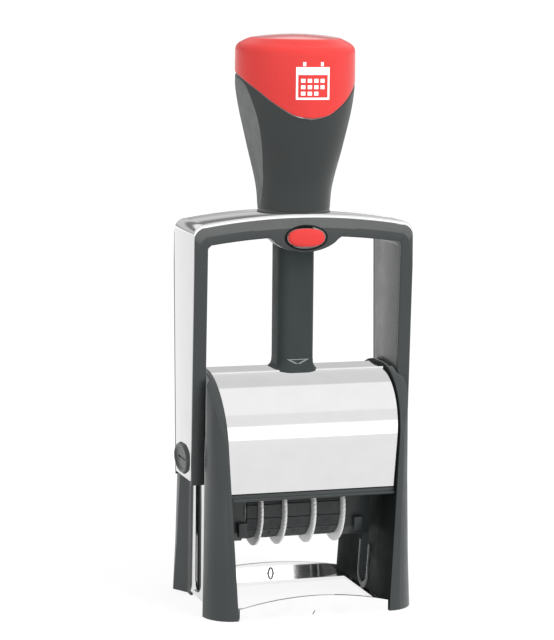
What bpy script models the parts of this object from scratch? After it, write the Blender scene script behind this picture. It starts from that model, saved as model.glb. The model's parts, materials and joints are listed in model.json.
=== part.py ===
"""Self-inking rotary date stamp: frame, yoke handle, flipping print unit and ink cartridge.

Frame: +X right, +Y rear, +Z up; the front faces -Y. The origin is on the ground under the middle.
"""
import math

import bmesh
import bpy
from mathutils import Vector

MM = 0.001
GAP = 0.3 * MM

# Overall and motion
STROKE = 31.2 * MM
AXLE_Z = 40.7 * MM
FACE_HEIGHT = 9.25 * MM

# Lower frame
LEG_HALF_DEPTH_FOOT = 22.4 * MM
LEG_HALF_DEPTH_TOP = 21.1 * MM
SHOULDER_Z = 46.0 * MM
SHOULDER_Y = 3.0 * MM
RIM_RADIUS = 18.1 * MM
INNER_X_FOOT = 20.9 * MM
INNER_X_TOP = 24.5 * MM
INNER_TOP_Z = 62.0 * MM
LEG_OUTER = ((-1.0, 29.0), (13.0, 28.3), (35.0, 27.7), (66.0, 27.4))
LEG_ROUND_START = (20.6 * MM, 14.0 * MM)
LEG_ROUND_POWER = 0.95
CHANNEL_FLOOR_X = 25.2 * MM
CHANNEL_FLOOR_HALF = 7.2 * MM
CHANNEL_STEP_X = 26.1 * MM
# Height and half width of the channel where it meets the leg's outer face
CHANNEL_EDGES = ((-2.0, 15.4), (12.0, 13.9), (36.0, 12.2), (68.0, 13.1))
CHANNEL_SLOPE = 1.7
SLOT_HALF = 2.35 * MM
SLOT_BOTTOM_Z = 3.0 * MM
SLOT_TOP_Z = 44.0 * MM
SLOT_PLATE_THICK = 0.7 * MM
SLOT_PLATE_Z = (1.3 * MM, 62.5 * MM)
CAM_RADIUS = 6.0 * MM
CAM_PIN_RADIUS = 1.0 * MM
CAM_PIN_END_X = 24.0 * MM

# Metal base
BASE_THICK = 1.0 * MM
BASE_HALF_X = 20.6 * MM
BASE_HALF_Y = 21.9 * MM
BASE_EAR_X = 25.1 * MM
BASE_EAR_Y = 14.2 * MM
WINDOW_HALF_X = 20.7 * MM
WINDOW_HALF_Y = 13.2 * MM
FRONT_LIP_Z = (2.9 * MM, 5.4 * MM)
REAR_LIP_Z = (2.4 * MM, 4.15 * MM)
BASE_LIP_THICK = 0.9 * MM
INDEX_X = 1.0 * MM
INDEX_HALF = (1.0 * MM, 0.5 * MM)
INDEX_Z = (0.5 * MM, 1.6 * MM, 2.3 * MM)
SCREW_SPOTS = tuple((x * MM, y * MM) for x in (-23.4, 23.4) for y in (-11.6, 11.6))
SCREW_HEAD_RADIUS = 1.6 * MM
SCREW_SHANK_RADIUS = 0.9 * MM
SCREW_TOP_Z = 6.0 * MM

# Hood and what is under it
HOOD_RADIUS = 17.0 * MM
HOOD_THICK = 1.0 * MM
HOOD_FRONT_Z = 33.4 * MM
HOOD_REAR_Z = 59.0 * MM
HOOD_CREASE_Y = 5.0 * MM
HOOD_TOP_Z = 63.25 * MM
RAIL_BOTTOM_Z = 31.3 * MM
PAD_HALF = (21.1 * MM, 12.4 * MM)
PAD_BOTTOM_Z = 50.5 * MM
PAD_TOP_Z = 54.2 * MM
CARTRIDGE_TOP_Z = 57.7 * MM
CARTRIDGE_HALF_X = 23.0 * MM
CARTRIDGE_FRONT_Y = -13.6 * MM
BRIDGE_Z = (58.0 * MM, 61.0 * MM)

# Guide column and spring
COLUMN_HALF = (5.0 * MM, 5.1 * MM)
COLUMN_ROUND = 2.9 * MM
COLUMN_Z = (61.4 * MM, 108.0 * MM)
COLUMN_BORE = 3.5 * MM
COLUMN_FLOOR_Z = 64.0 * MM
COLLAR_HALF = (6.1 * MM, 6.8 * MM)
COLLAR_ROUND = 4.6 * MM
COLLAR_HEIGHT = 2.2 * MM
SPRING_RADIUS = 2.7 * MM
SPRING_WIRE = 0.45 * MM
SPRING_TURNS = 15

# Yoke
YOKE_HALF_X = 30.3 * MM
YOKE_INNER_X = 26.6 * MM
YOKE_HALF_DEPTH_LOW = 8.6 * MM
YOKE_HALF_DEPTH_TOP = 11.3 * MM
YOKE_BOTTOM_Z = 33.9 * MM
STRAP_BOTTOM_Z = 34.9 * MM
YOKE_SHOULDER_Z = 98.0 * MM
YOKE_TOP_Z = 105.4 * MM
YOKE_TOP_DROP = 2.4 * MM
YOKE_UNDER_Z = 99.6 * MM
YOKE_UNDER_DROP = 2.1 * MM
YOKE_CORNER = 3.0 * MM
STRAP_THICK = 0.9 * MM
TRIM_THICK = 0.9 * MM
TRIM_DROP = 0.9 * MM
BELLY_BACK_Y = -6.5 * MM
BELLY_HALF_X = 9.4 * MM
BELLY_BOTTOM_Z = 95.4 * MM
LUG_HALF = (6.6 * MM, 3.9 * MM)
LUG_Z = 39.8 * MM
LUG_THICK = 1.7 * MM
AXLE_RADIUS = 2.1 * MM

# Handle: height and radius of the grip, height and half width of its side flats
GRIP_PROFILE = ((105.75, 9.65), (111.4, 10.1), (116.0, 11.15), (123.0, 13.3),
                (130.5, 15.1), (137.0, 15.8), (143.0, 15.95))
GRIP_FLATS = ((105.0, 9.7), (112.7, 9.7), (119.7, 10.65), (127.0, 11.9),
              (134.0, 13.65), (141.0, 15.8), (146.0, 17.9))
GRIP_BORE = 7.2 * MM
# Angle from the front and height of the seam between the grip and the cap
CAP_EDGE = ((0.0, 130.45), (17.0, 131.3), (29.5, 133.1), (42.0, 135.2), (55.0, 137.5), (74.0, 140.0),
            (90.0, 141.4), (107.0, 142.0), (125.0, 142.3), (180.0, 142.4))
CAP_RADIUS = 15.95 * MM
CAP_SIDE_Z = 148.4 * MM
CAP_PLATE_RADIUS = 12.0 * MM
CAP_PLATE_Z = 151.3 * MM
CAP_TOP_Z = 152.4 * MM
CAP_WALL = 1.9 * MM
CAP_ROOF_Z = 148.8 * MM
CAP_BEVEL = (0.5 * MM, 0.9 * MM)
FLANGE_Z = (146.4 * MM, 148.5 * MM)
ROD_RADIUS = 1.7 * MM
ROD_BOTTOM_Z = 100.0 * MM

# Lock button
BUTTON_HALF = (5.2 * MM, 2.6 * MM)
BUTTON_Z = 99.3 * MM
BUTTON_Y = (-12.6 * MM, -10.0 * MM)
STEM_HALF = (3.4 * MM, 1.7 * MM)

# Print unit, heights measured from its axle
CHEEK_OUTER_X = 20.4 * MM
CHEEK_LEFT_INNER_X = -15.5 * MM
CHEEK_RIGHT_INNER_X = 12.9 * MM
CHEEK_OUTLINE = ((-11.5, 6.05), (-11.5, 2.0), (-7.8, -4.0), (-7.8, -20.5), (-5.5, -23.2),
                 (5.5, -23.2), (7.8, -20.5), (7.8, -4.0), (11.5, 2.0), (11.5, 6.05))
CARRIER_HEIGHT = 6.35 * MM
CARRIER_THICK = 1.4 * MM
DIE_THICK = 1.2 * MM
WHEEL_DROP = 15.0 * MM
WHEEL_RADIUS = 10.8 * MM
WHEEL_DISC_THICK = 0.75 * MM
WHEEL_HUB_RADIUS = 7.6 * MM
WHEEL_BORE = 1.5 * MM
WHEEL_AXLE_RADIUS = 1.2 * MM
WHEEL_DISCS_X = (-11.1, -4.5, 3.7, 11.9)
HUB_STARTS_X = (-15.0, -10.4, -3.8, 4.4)
BAND_THICK = 0.9 * MM
NOSE_HEIGHT = 6.45 * MM
NOSE_RADIUS = 1.5 * MM
DATE_SLOT_X = (-15.2 * MM, 11.3 * MM)
DATE_SLOT_HALF_Y = 3.0 * MM
DIE_HALF = (20.2 * MM, 11.8 * MM)
CLIP_X = (15.1 * MM, 17.4 * MM)
CLIP_Y = (-9.6 * MM, -8.1 * MM)
CLIP_Z = (-21.4 * MM, -17.6 * MM)
TIE_ROD_SPOT = (8.0 * MM, 0.5 * MM)

PALETTE = {
    "dark_plastic": ((0.055, 0.063, 0.064), 0.45, 0.0),
    "red_plastic": ((0.80, 0.065, 0.06), 0.35, 0.0),
    "chrome": ((0.85, 0.85, 0.86), 0.12, 1.0),
    "steel": ((0.60, 0.60, 0.62), 0.3, 1.0),
    "grey_plastic": ((0.72, 0.72, 0.72), 0.5, 0.0),
    "rubber": ((0.05, 0.05, 0.055), 0.8, 0.0),
    "felt": ((0.03, 0.035, 0.12), 0.95, 0.0),
}


# ---------- scene and object helpers ----------

def clear_scene():
    for item in list(bpy.data.objects):
        bpy.data.objects.remove(item, do_unlink=True)


def make_material(name, kind):
    colour, roughness, metallic = PALETTE[kind]
    material = bpy.data.materials.new(name)
    material.use_nodes = True
    shader = material.node_tree.nodes["Principled BSDF"]
    shader.inputs["Base Color"].default_value = (*colour, 1.0)
    shader.inputs["Roughness"].default_value = roughness
    shader.inputs["Metallic"].default_value = metallic
    material.diffuse_color = (*colour, 1.0)
    return material


def make_object(name, shape):
    """Turn a bmesh in world coordinates into an object."""
    bmesh.ops.recalc_face_normals(shape, faces=shape.faces)
    mesh = bpy.data.meshes.new(name)
    shape.to_mesh(mesh)
    shape.free()
    item = bpy.data.objects.new(name, mesh)
    bpy.context.scene.collection.objects.link(item)
    return item


def boolean(target, tool, operation):
    """Cut, join or intersect the target with a tool shape, which is used up."""
    cutter = make_object("cutter", tool)
    modifier = target.modifiers.new("boolean", "BOOLEAN")
    modifier.operation = operation
    modifier.solver = "EXACT"
    modifier.object = cutter
    bpy.context.view_layer.update()
    evaluated = target.evaluated_get(bpy.context.evaluated_depsgraph_get())
    result = bpy.data.meshes.new_from_object(evaluated)
    target.modifiers.clear()
    target.data = result
    bpy.data.objects.remove(cutter, do_unlink=True)


def cut(target, *tools):
    for tool in tools:
        boolean(target, tool, "DIFFERENCE")


def keep_inside(target, tool):
    boolean(target, tool, "INTERSECT")


def join(target, *tools):
    for tool in tools:
        boolean(target, tool, "UNION")


def finish(item, kind, parent=None, smooth_angle=35.0):
    """Give the object its material, smooth shading and parent."""
    item.data.materials.clear()
    item.data.materials.append(make_material(item.name, kind))
    if parent is not None:
        for vertex in item.data.vertices:
            vertex.co -= parent.location
        item.parent = parent
    item.data.shade_smooth()
    item.data.set_sharp_from_angle(angle=math.radians(smooth_angle))
    return item


def make_axis(name, x, y, z):
    """An empty that marks a moving body's axis."""
    axis = bpy.data.objects.new(name, None)
    axis.empty_display_size = 5 * MM
    axis.location = (x, y, z)
    bpy.context.scene.collection.objects.link(axis)
    return axis


# ---------- shape helpers: each returns a closed bmesh ----------

def on_axis(axis, along, a, b):
    """A point at distance `along` the axis and (a, b) in the plane across it."""
    if axis == "X":
        return Vector((along, a, b))
    if axis == "Y":
        return Vector((a, along, b))
    return Vector((a, b, along))


def loft(rings):
    """Join matching rings of points and close both ends."""
    shape = bmesh.new()
    rows = [[shape.verts.new(point) for point in ring] for ring in rings]
    count = len(rings[0])
    for low, high in zip(rows, rows[1:]):
        for i in range(count):
            j = (i + 1) % count
            shape.faces.new((low[i], low[j], high[j], high[i]))
    shape.faces.new(rows[0])
    shape.faces.new(rows[-1])
    return shape


def prism(axis, start, end, outline):
    """Extrude a closed outline along an axis."""
    rings = [[on_axis(axis, along, a, b) for a, b in outline] for along in (start, end)]
    return loft(rings)


def box(x0, x1, y0, y1, z0, z1):
    return prism("Z", z0, z1, [(x0, y0), (x1, y0), (x1, y1), (x0, y1)])


def arc(cx, cy, rx, ry, start, end, steps):
    """Points on an ellipse arc, angles in degrees."""
    points = []
    for i in range(steps + 1):
        angle = math.radians(start + (end - start) * i / steps)
        points.append((cx + rx * math.cos(angle), cy + ry * math.sin(angle)))
    return points


def ellipse(cx, cy, rx, ry, steps=28):
    return arc(cx, cy, rx, ry, 0, 360, steps)[:-1]


def rounded_rectangle(half_a, half_b, radius, steps=4):
    points = []
    for sign_a, sign_b, start in ((1, 1, 0), (-1, 1, 90), (-1, -1, 180), (1, -1, 270)):
        centre_a = sign_a * (half_a - radius)
        centre_b = sign_b * (half_b - radius)
        points += arc(centre_a, centre_b, radius, radius, start, start + 90, steps)
    return points


def slot_outline(half_width, low, high, steps=6):
    """An upright slot with round ends, in the plane of Y and Z."""
    top = arc(0, high - half_width, half_width, half_width, 0, 180, steps)
    bottom = arc(0, low + half_width, half_width, half_width, 180, 360, steps)
    return top + bottom


def rod(axis, start, end, a, b, radius, steps=20):
    return prism(axis, start, end, ellipse(a, b, radius, radius, steps))


def ring_sweep(loops):
    """Join closed loops one after another and the last to the first."""
    shape = bmesh.new()
    rows = [[shape.verts.new(point) for point in loop] for loop in loops]
    count = len(loops[0])
    for k, row in enumerate(rows):
        other = rows[(k + 1) % len(rows)]
        for i in range(count):
            j = (i + 1) % count
            shape.faces.new((row[i], row[j], other[j], other[i]))
    return shape


def interpolate(table, value):
    """Smooth height look-up in a table of millimetre pairs."""
    value = value / MM
    for (z0, r0), (z1, r1) in zip(table, table[1:]):
        if value <= z1:
            return (r0 + (r1 - r0) * max(0.0, value - z0) / (z1 - z0)) * MM
    return table[-1][1] * MM


def between(low, high, part):
    return low + (high - low) * part


# ---------- lower frame ----------

def inner_x(z):
    """Inner face of the side frames: they lean apart toward the top."""
    return between(INNER_X_FOOT, INNER_X_TOP, z / INNER_TOP_Z)


def lean_wedge(clearance):
    """Everything between the two side frames, less a clearance."""
    low = -1 * MM
    high = 70 * MM
    outline = [(-inner_x(low) + clearance, low), (inner_x(low) - clearance, low),
               (inner_x(high) - clearance, high), (-inner_x(high) + clearance, high)]
    return prism("Y", -30 * MM, 30 * MM, outline)


def side_outline():
    """Side view of a side frame: splayed legs under round shoulders."""
    rear = [(LEG_HALF_DEPTH_FOOT, 0.0), (LEG_HALF_DEPTH_TOP, SHOULDER_Z)]
    rear += arc(SHOULDER_Y, SHOULDER_Z, RIM_RADIUS, RIM_RADIUS, 8, 90, 10)
    front = [(-y, z) for y, z in reversed(rear)]
    return rear + front


def leg_plan(outer_x, z):
    """Plan of a side frame at one height, with round corners front and rear."""
    start_x, start_y = LEG_ROUND_START
    reach_x = outer_x - start_x
    reach_y = LEG_HALF_DEPTH_FOOT + 0.2 * MM - start_y
    rear = []
    for i in range(9):
        angle = math.radians(90 * i / 8)
        x = start_x + reach_x * max(0.0, math.cos(angle)) ** LEG_ROUND_POWER
        y = start_y + reach_y * math.sin(angle) ** LEG_ROUND_POWER
        rear.append((x, y))
    front = [(x, -y) for x, y in reversed(rear)]
    outline = rear + [(19 * MM, rear[-1][1]), (19 * MM, front[0][1])] + front
    return [Vector((x, y, z)) for x, y in outline]


def cam_outline(width):
    """Groove that the cam pin follows while the print unit turns over."""
    centre = []
    for i in range(17):
        part = i / 16
        turn = math.pi * part
        centre.append((CAM_RADIUS * math.sin(turn), AXLE_Z - STROKE * part - CAM_RADIUS * math.cos(turn)))
    left = []
    right = []
    for i, (y, z) in enumerate(centre):
        before = centre[max(0, i - 1)]
        after = centre[min(len(centre) - 1, i + 1)]
        length = math.hypot(after[0] - before[0], after[1] - before[1])
        across_y = -(after[1] - before[1]) / length * width
        across_z = (after[0] - before[0]) / length * width
        left.append((y + across_y, z + across_z))
        right.append((y - across_y, z - across_z))
    return left + list(reversed(right))


def mirror_x(shape, side):
    """Put a shape made for the right on the left when side is -1."""
    for vertex in shape.verts:
        vertex.co.x *= side
    return shape


def channel_flare():
    """Space down the outside of a side frame for the yoke's arm, with sloped flanks."""
    outside = 32 * MM
    rings = []
    for height, edge in CHANNEL_EDGES:
        outer_x = interpolate(LEG_OUTER, height * MM)
        step = edge * MM - CHANNEL_SLOPE * (outer_x - CHANNEL_STEP_X)
        far = edge * MM + CHANNEL_SLOPE * (outside - outer_x)
        plan = [(CHANNEL_STEP_X, -step), (outside, -far), (outside, far), (CHANNEL_STEP_X, step)]
        rings.append([Vector((x, y, height * MM)) for x, y in plan])
    return loft(rings)


def side_frame(side, name):
    item = make_object(name, mirror_x(prism("X", 19.5 * MM, 30 * MM, side_outline()), side))
    outer = loft([leg_plan(x * MM, z * MM) for z, x in LEG_OUTER])
    keep_inside(item, mirror_x(outer, side))
    cut(item, lean_wedge(0.0))
    half = CHANNEL_FLOOR_HALF
    cut(item, mirror_x(box(CHANNEL_FLOOR_X, 32 * MM, -half, half, -2 * MM, 68 * MM), side))
    cut(item, mirror_x(channel_flare(), side))
    slot = slot_outline(SLOT_HALF + GAP, SLOT_BOTTOM_Z - GAP, SLOT_TOP_Z + GAP)
    cut(item, mirror_x(prism("X", 18 * MM, 28 * MM, slot), side))
    cam = cam_outline(CAM_PIN_RADIUS + GAP)
    cut(item, mirror_x(prism("X", 18 * MM, CAM_PIN_END_X + GAP, cam), side))
    underside = box(18 * MM, BASE_EAR_X + GAP, -BASE_EAR_Y - GAP, BASE_EAR_Y + GAP,
                    -1 * MM, BASE_THICK + GAP)
    cut(item, mirror_x(underside, side))
    for x, y in SCREW_SPOTS:
        if x * side > 0:
            hole = rod("Z", -1 * MM, SCREW_TOP_Z + GAP, x, y, SCREW_SHANK_RADIUS + GAP, 12)
            cut(item, hole)
    finish(item, "dark_plastic")


def slot_plate(side, name):
    x0 = CHANNEL_FLOOR_X + GAP
    half = CHANNEL_FLOOR_HALF - GAP
    low, high = SLOT_PLATE_Z
    corner = 3 * MM
    outline = [(-half, low), (half, low), (half, high - corner), (half - corner, high),
               (corner - half, high), (-half, high - corner)]
    item = make_object(name, mirror_x(prism("X", x0, x0 + SLOT_PLATE_THICK, outline), side))
    slot = slot_outline(SLOT_HALF, SLOT_BOTTOM_Z, SLOT_TOP_Z)
    cut(item, mirror_x(prism("X", x0 - 2 * MM, x0 + 2 * MM, slot), side))
    finish(item, "chrome")


def lip_outline(heights):
    """Front view of a base lip with its arched top, from end and middle heights."""
    end_z, middle_z = heights
    points = [(-BASE_HALF_X, 0.2 * MM), (BASE_HALF_X, 0.2 * MM)]
    steps = 16
    for i in range(steps + 1):
        x = BASE_HALF_X * (1 - 2 * i / steps)
        rise = 1 - (x / BASE_HALF_X) ** 2
        points.append((x, between(end_z, middle_z, rise)))
    return points


def base_plate():
    """Bright plate under the feet, with a print window and arched lips front and rear."""
    right = [(BASE_HALF_X, -BASE_HALF_Y), (BASE_HALF_X, -BASE_EAR_Y), (BASE_EAR_X, -BASE_EAR_Y),
             (BASE_EAR_X, BASE_EAR_Y), (BASE_HALF_X, BASE_EAR_Y), (BASE_HALF_X, BASE_HALF_Y)]
    left = [(-x, y) for x, y in reversed(right)]
    item = make_object("base_plate", prism("Z", 0.0, BASE_THICK, right + left))
    front_y = -BASE_HALF_Y - 0.05 * MM
    rear_y = BASE_HALF_Y + 0.05 * MM
    join(item, prism("Y", front_y, front_y + BASE_LIP_THICK, lip_outline(FRONT_LIP_Z)))
    join(item, prism("Y", rear_y - BASE_LIP_THICK, rear_y, lip_outline(REAR_LIP_Z)))
    cut(item, box(-WINDOW_HALF_X, WINDOW_HALF_X, -WINDOW_HALF_Y, WINDOW_HALF_Y, -1 * MM, 3 * MM))
    low, middle, high = INDEX_Z
    wide, narrow = INDEX_HALF
    index = [(INDEX_X - wide, low), (INDEX_X + wide, low), (INDEX_X + narrow, middle),
             (INDEX_X, high), (INDEX_X - narrow, middle)]
    cut(item, prism("Y", rear_y - BASE_LIP_THICK - 0.2 * MM, rear_y + 1 * MM, index))
    for x, y in SCREW_SPOTS:
        cut(item, rod("Z", -1 * MM, 2 * MM, x, y, SCREW_HEAD_RADIUS + GAP, 16))
    finish(item, "chrome")


def base_screws():
    for number, (x, y) in enumerate(SCREW_SPOTS, start=1):
        head = rod("Z", 0.1 * MM, 0.95 * MM, x, y, SCREW_HEAD_RADIUS, 16)
        item = make_object(f"base_screw_{number}", head)
        join(item, rod("Z", 0.5 * MM, SCREW_TOP_Z, x, y, SCREW_SHANK_RADIUS, 12))
        finish(item, "steel")


def column_hole():
    """Plan of the clearance hole round the guide column."""
    return rounded_rectangle(COLUMN_HALF[0] + GAP, COLUMN_HALF[1] + GAP, COLUMN_ROUND)


def hood():
    """Chrome cover: front sheet, round shoulders and a flat top with a hole for the column."""
    rear_angle = math.degrees(math.asin((HOOD_REAR_Z - SHOULDER_Z) / HOOD_RADIUS))
    top_angle = math.degrees(math.acos((HOOD_CREASE_Y + 0.3 * MM - SHOULDER_Y) / HOOD_RADIUS))
    inner = HOOD_RADIUS - HOOD_THICK
    half = HOOD_CREASE_Y
    outline = [(-SHOULDER_Y - HOOD_RADIUS, HOOD_FRONT_Z)]
    outline += arc(-SHOULDER_Y, SHOULDER_Z, HOOD_RADIUS, HOOD_RADIUS, 180, 180 - top_angle, 12)
    outline += [(-half, HOOD_TOP_Z), (half, HOOD_TOP_Z)]
    outline += arc(SHOULDER_Y, SHOULDER_Z, HOOD_RADIUS, HOOD_RADIUS, top_angle, rear_angle, 5)
    outline += arc(SHOULDER_Y, SHOULDER_Z, inner, inner, rear_angle, 90, 5)
    outline += arc(-SHOULDER_Y, SHOULDER_Z, inner, inner, 90, 180, 12)
    outline.append((-SHOULDER_Y - inner, HOOD_FRONT_Z))
    item = make_object("hood", prism("X", -26 * MM, 26 * MM, outline))
    keep_inside(item, lean_wedge(GAP))
    cut(item, prism("Z", 55 * MM, 66 * MM, column_hole()))
    finish(item, "chrome")


def hood_rail():
    """Rail under the hood's front edge: a set-back face over a small lip."""
    front = -SHOULDER_Y - HOOD_RADIUS - 0.6 * MM
    face = front + 0.7 * MM
    back = front + 3 * MM
    top = HOOD_FRONT_Z - GAP
    outline = [(front, RAIL_BOTTOM_Z + 0.3 * MM), (front, RAIL_BOTTOM_Z + 0.7 * MM),
               (front + 0.2 * MM, RAIL_BOTTOM_Z + 0.9 * MM), (face, RAIL_BOTTOM_Z + 0.9 * MM),
               (face, top), (back, top), (back, RAIL_BOTTOM_Z), (front + 0.3 * MM, RAIL_BOTTOM_Z)]
    item = make_object("hood_rail", prism("X", -26 * MM, 26 * MM, outline))
    keep_inside(item, lean_wedge(GAP))
    finish(item, "dark_plastic")


def upper_bridge():
    item = make_object("upper_bridge", box(-26 * MM, 26 * MM, -7 * MM, 7 * MM, *BRIDGE_Z))
    keep_inside(item, lean_wedge(GAP))
    finish(item, "dark_plastic")


def cartridge_rail(side, name):
    """Ledge on a side frame that carries the ink cartridge."""
    top = PAD_BOTTOM_Z - 0.2 * MM
    low = top - 1.6 * MM
    item = make_object(name, mirror_x(box(21.3 * MM, 26 * MM, -13 * MM, 13 * MM, low, top), side))
    keep_inside(item, lean_wedge(GAP))
    finish(item, "dark_plastic")


def guide_column():
    outline = rounded_rectangle(*COLUMN_HALF, COLUMN_ROUND)
    item = make_object("guide_column", prism("Z", *COLUMN_Z, outline))
    cut(item, rod("Z", COLUMN_FLOOR_Z, COLUMN_Z[1] + 2 * MM, 0, 0, COLUMN_BORE))
    finish(item, "dark_plastic")


def column_collar():
    low = HOOD_TOP_Z + GAP
    outer = rounded_rectangle(*COLLAR_HALF, COLLAR_ROUND)
    item = make_object("column_collar", prism("Z", low, low + COLLAR_HEIGHT, outer))
    cut(item, prism("Z", low - 1 * MM, low + 5 * MM, column_hole()))
    finish(item, "dark_plastic")


def return_spring():
    """Compression spring from the column's floor up to the rod's flange."""
    low = COLUMN_FLOOR_Z + GAP + SPRING_WIRE
    high = FLANGE_Z[0] - GAP - SPRING_WIRE
    steps = SPRING_TURNS * 10
    sides = 5
    rings = []
    for i in range(steps + 1):
        part = i / steps
        turn = 2 * math.pi * SPRING_TURNS * part
        out = Vector((math.cos(turn), math.sin(turn), 0))
        centre = out * SPRING_RADIUS + Vector((0, 0, between(low, high, part)))
        ring = []
        for k in range(sides):
            angle = 2 * math.pi * k / sides
            rise = Vector((0, 0, SPRING_WIRE * math.sin(angle)))
            ring.append(centre + out * SPRING_WIRE * math.cos(angle) + rise)
        rings.append(ring)
    finish(make_object("return_spring", loft(rings)), "steel")


# ---------- ink cartridge ----------

def ink_cartridge(axis):
    rear = arc(SHOULDER_Y, SHOULDER_Z, HOOD_RADIUS, HOOD_RADIUS, 43, 16, 6)
    outline = [(CARTRIDGE_FRONT_Y, PAD_BOTTOM_Z + 0.1 * MM), (CARTRIDGE_FRONT_Y, CARTRIDGE_TOP_Z),
               (rear[0][0], CARTRIDGE_TOP_Z)]
    outline += rear
    outline.append((rear[-1][0], PAD_BOTTOM_Z + 0.1 * MM))
    item = make_object("ink_cartridge", prism("X", -CARTRIDGE_HALF_X, CARTRIDGE_HALF_X, outline))
    half_x = PAD_HALF[0] + GAP
    half_y = PAD_HALF[1] + GAP
    cut(item, box(-half_x, half_x, -half_y, half_y, PAD_BOTTOM_Z - 2 * MM, PAD_TOP_Z + GAP))
    scoop = ellipse(0, 53.0 * MM, 8 * MM, 1.8 * MM, 24)
    cut(item, prism("Y", 17 * MM, 24 * MM, scoop))
    finish(item, "dark_plastic", axis)


def ink_pad(axis):
    shape = box(-PAD_HALF[0], PAD_HALF[0], -PAD_HALF[1], PAD_HALF[1], PAD_BOTTOM_Z, PAD_TOP_Z)
    finish(make_object("ink_pad", shape), "felt", axis)


# ---------- yoke and handle ----------

def yoke_depth(z):
    """Half depth of the yoke, which narrows down its arms."""
    part = min(1.0, max(0.0, (z - 35 * MM) / (YOKE_SHOULDER_Z - 35 * MM)))
    return between(YOKE_HALF_DEPTH_LOW, YOKE_HALF_DEPTH_TOP, part)


def depth_slab(outer_inset, inner_inset=None, side=1):
    """Side-view outline that follows the yoke's taper, whole or only one face's layer."""
    heights = (30 * MM, 35 * MM, YOKE_SHOULDER_Z, 110 * MM)
    outer = [(side * (yoke_depth(z) - outer_inset), z) for z in heights]
    if inner_inset is None:
        inner = [(-side * (yoke_depth(z) - outer_inset), z) for z in heights]
    else:
        inner = [(side * (yoke_depth(z) - inner_inset), z) for z in heights]
    return prism("X", -35 * MM, 35 * MM, outer + list(reversed(inner)))


def arch_top(x):
    return YOKE_TOP_Z - YOKE_TOP_DROP * (x / (28 * MM)) ** 2


def arch_under(x, belly):
    """Underside of the cross beam, with or without the belly that holds the lock button."""
    z = YOKE_UNDER_Z - YOKE_UNDER_DROP * (x / (27 * MM)) ** 2
    if belly and abs(x) < BELLY_HALF_X:
        bulge = 1 - (x / BELLY_HALF_X) ** 2
        z -= (YOKE_UNDER_Z - BELLY_BOTTOM_Z) * bulge ** 0.7
    return z


def over_path(inset, bottom, drop=0.0):
    """Outer line of the upside-down U, right foot to left foot; a drop lowers its beam."""
    edge = YOKE_HALF_X - YOKE_CORNER
    radius = YOKE_CORNER - inset
    centre_z = arch_top(edge) - YOKE_CORNER - drop
    path = [(YOKE_HALF_X - inset, bottom)]
    path += arc(edge, centre_z, radius, radius, 0, 90, 6)
    steps = 14
    for i in range(1, steps):
        x = edge * (1 - 2 * i / steps)
        path.append((x, arch_top(x) - inset - drop))
    path += arc(-edge, centre_z, radius, radius, 90, 180, 6)
    path.append((-YOKE_HALF_X + inset, bottom))
    return path


def under_path(bottom, belly):
    """Inner line of the U, left foot to right foot."""
    radius = 1.2 * MM
    corner_z = arch_under(YOKE_INNER_X - radius, False) - radius
    path = [(-YOKE_INNER_X, bottom), (-YOKE_INNER_X, corner_z)]
    steps = 26
    for i in range(steps + 1):
        x = (YOKE_INNER_X - radius) * (2 * i / steps - 1)
        path.append((x, arch_under(x, belly)))
    path += [(YOKE_INNER_X, corner_z), (YOKE_INNER_X, bottom)]
    return path


def button_opening(half_extra):
    return ellipse(0, BUTTON_Z, BUTTON_HALF[0] + half_extra, BUTTON_HALF[1] + half_extra, 28)


def yoke_bracket(axis):
    top_line = over_path(STRAP_THICK + GAP, STRAP_BOTTOM_Z)
    plain = top_line + under_path(STRAP_BOTTOM_Z, belly=False)
    item = make_object("yoke_bracket", prism("Y", -12 * MM, 12 * MM, plain))
    swollen = top_line + under_path(STRAP_BOTTOM_Z, belly=True)
    join(item, prism("Y", -12 * MM, BELLY_BACK_Y, swollen))
    keep_inside(item, depth_slab(TRIM_THICK + GAP))
    cut(item, prism("Z", 90 * MM, 110 * MM, column_hole()))
    recess = rounded_rectangle(COLLAR_HALF[0] + GAP, COLLAR_HALF[1] + GAP, COLLAR_ROUND)
    recess_top = HOOD_TOP_Z + COLLAR_HEIGHT + STROKE + 2 * GAP
    cut(item, prism("Z", 90 * MM, recess_top, recess))
    cut(item, prism("Y", -14 * MM, 0, button_opening(GAP)))
    cut(item, rod("X", -31 * MM, 31 * MM, 0, AXLE_Z, AXLE_RADIUS + GAP))
    finish(item, "dark_plastic", axis)


def yoke_strap(axis):
    outline = over_path(0, STRAP_BOTTOM_Z)
    outline += list(reversed(over_path(STRAP_THICK, STRAP_BOTTOM_Z)))
    item = make_object("yoke_strap", prism("Y", -12 * MM, 12 * MM, outline))
    keep_inside(item, depth_slab(TRIM_THICK + GAP))
    cut(item, prism("Z", 90 * MM, 110 * MM, column_hole()))
    lug = ellipse(0, LUG_Z, LUG_HALF[0] + GAP, LUG_HALF[1] + GAP)
    cut(item, prism("X", -32 * MM, 32 * MM, lug))
    finish(item, "chrome", axis)


def yoke_trim(axis, side, name):
    outline = over_path(0.1 * MM, YOKE_BOTTOM_Z, TRIM_DROP) + under_path(YOKE_BOTTOM_Z, belly=side < 0)
    item = make_object(name, prism("Y", -12 * MM, 12 * MM, outline))
    keep_inside(item, depth_slab(0.0, TRIM_THICK, side))
    if side < 0:
        cut(item, prism("Y", -14 * MM, 0, button_opening(GAP)))
    finish(item, "dark_plastic", axis)


def lug_plug(axis, side, name):
    low = YOKE_HALF_X - STRAP_THICK
    shape = prism("X", low, low + LUG_THICK, ellipse(0, LUG_Z, *LUG_HALF))
    finish(make_object(name, mirror_x(shape, side)), "dark_plastic", axis)


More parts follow.
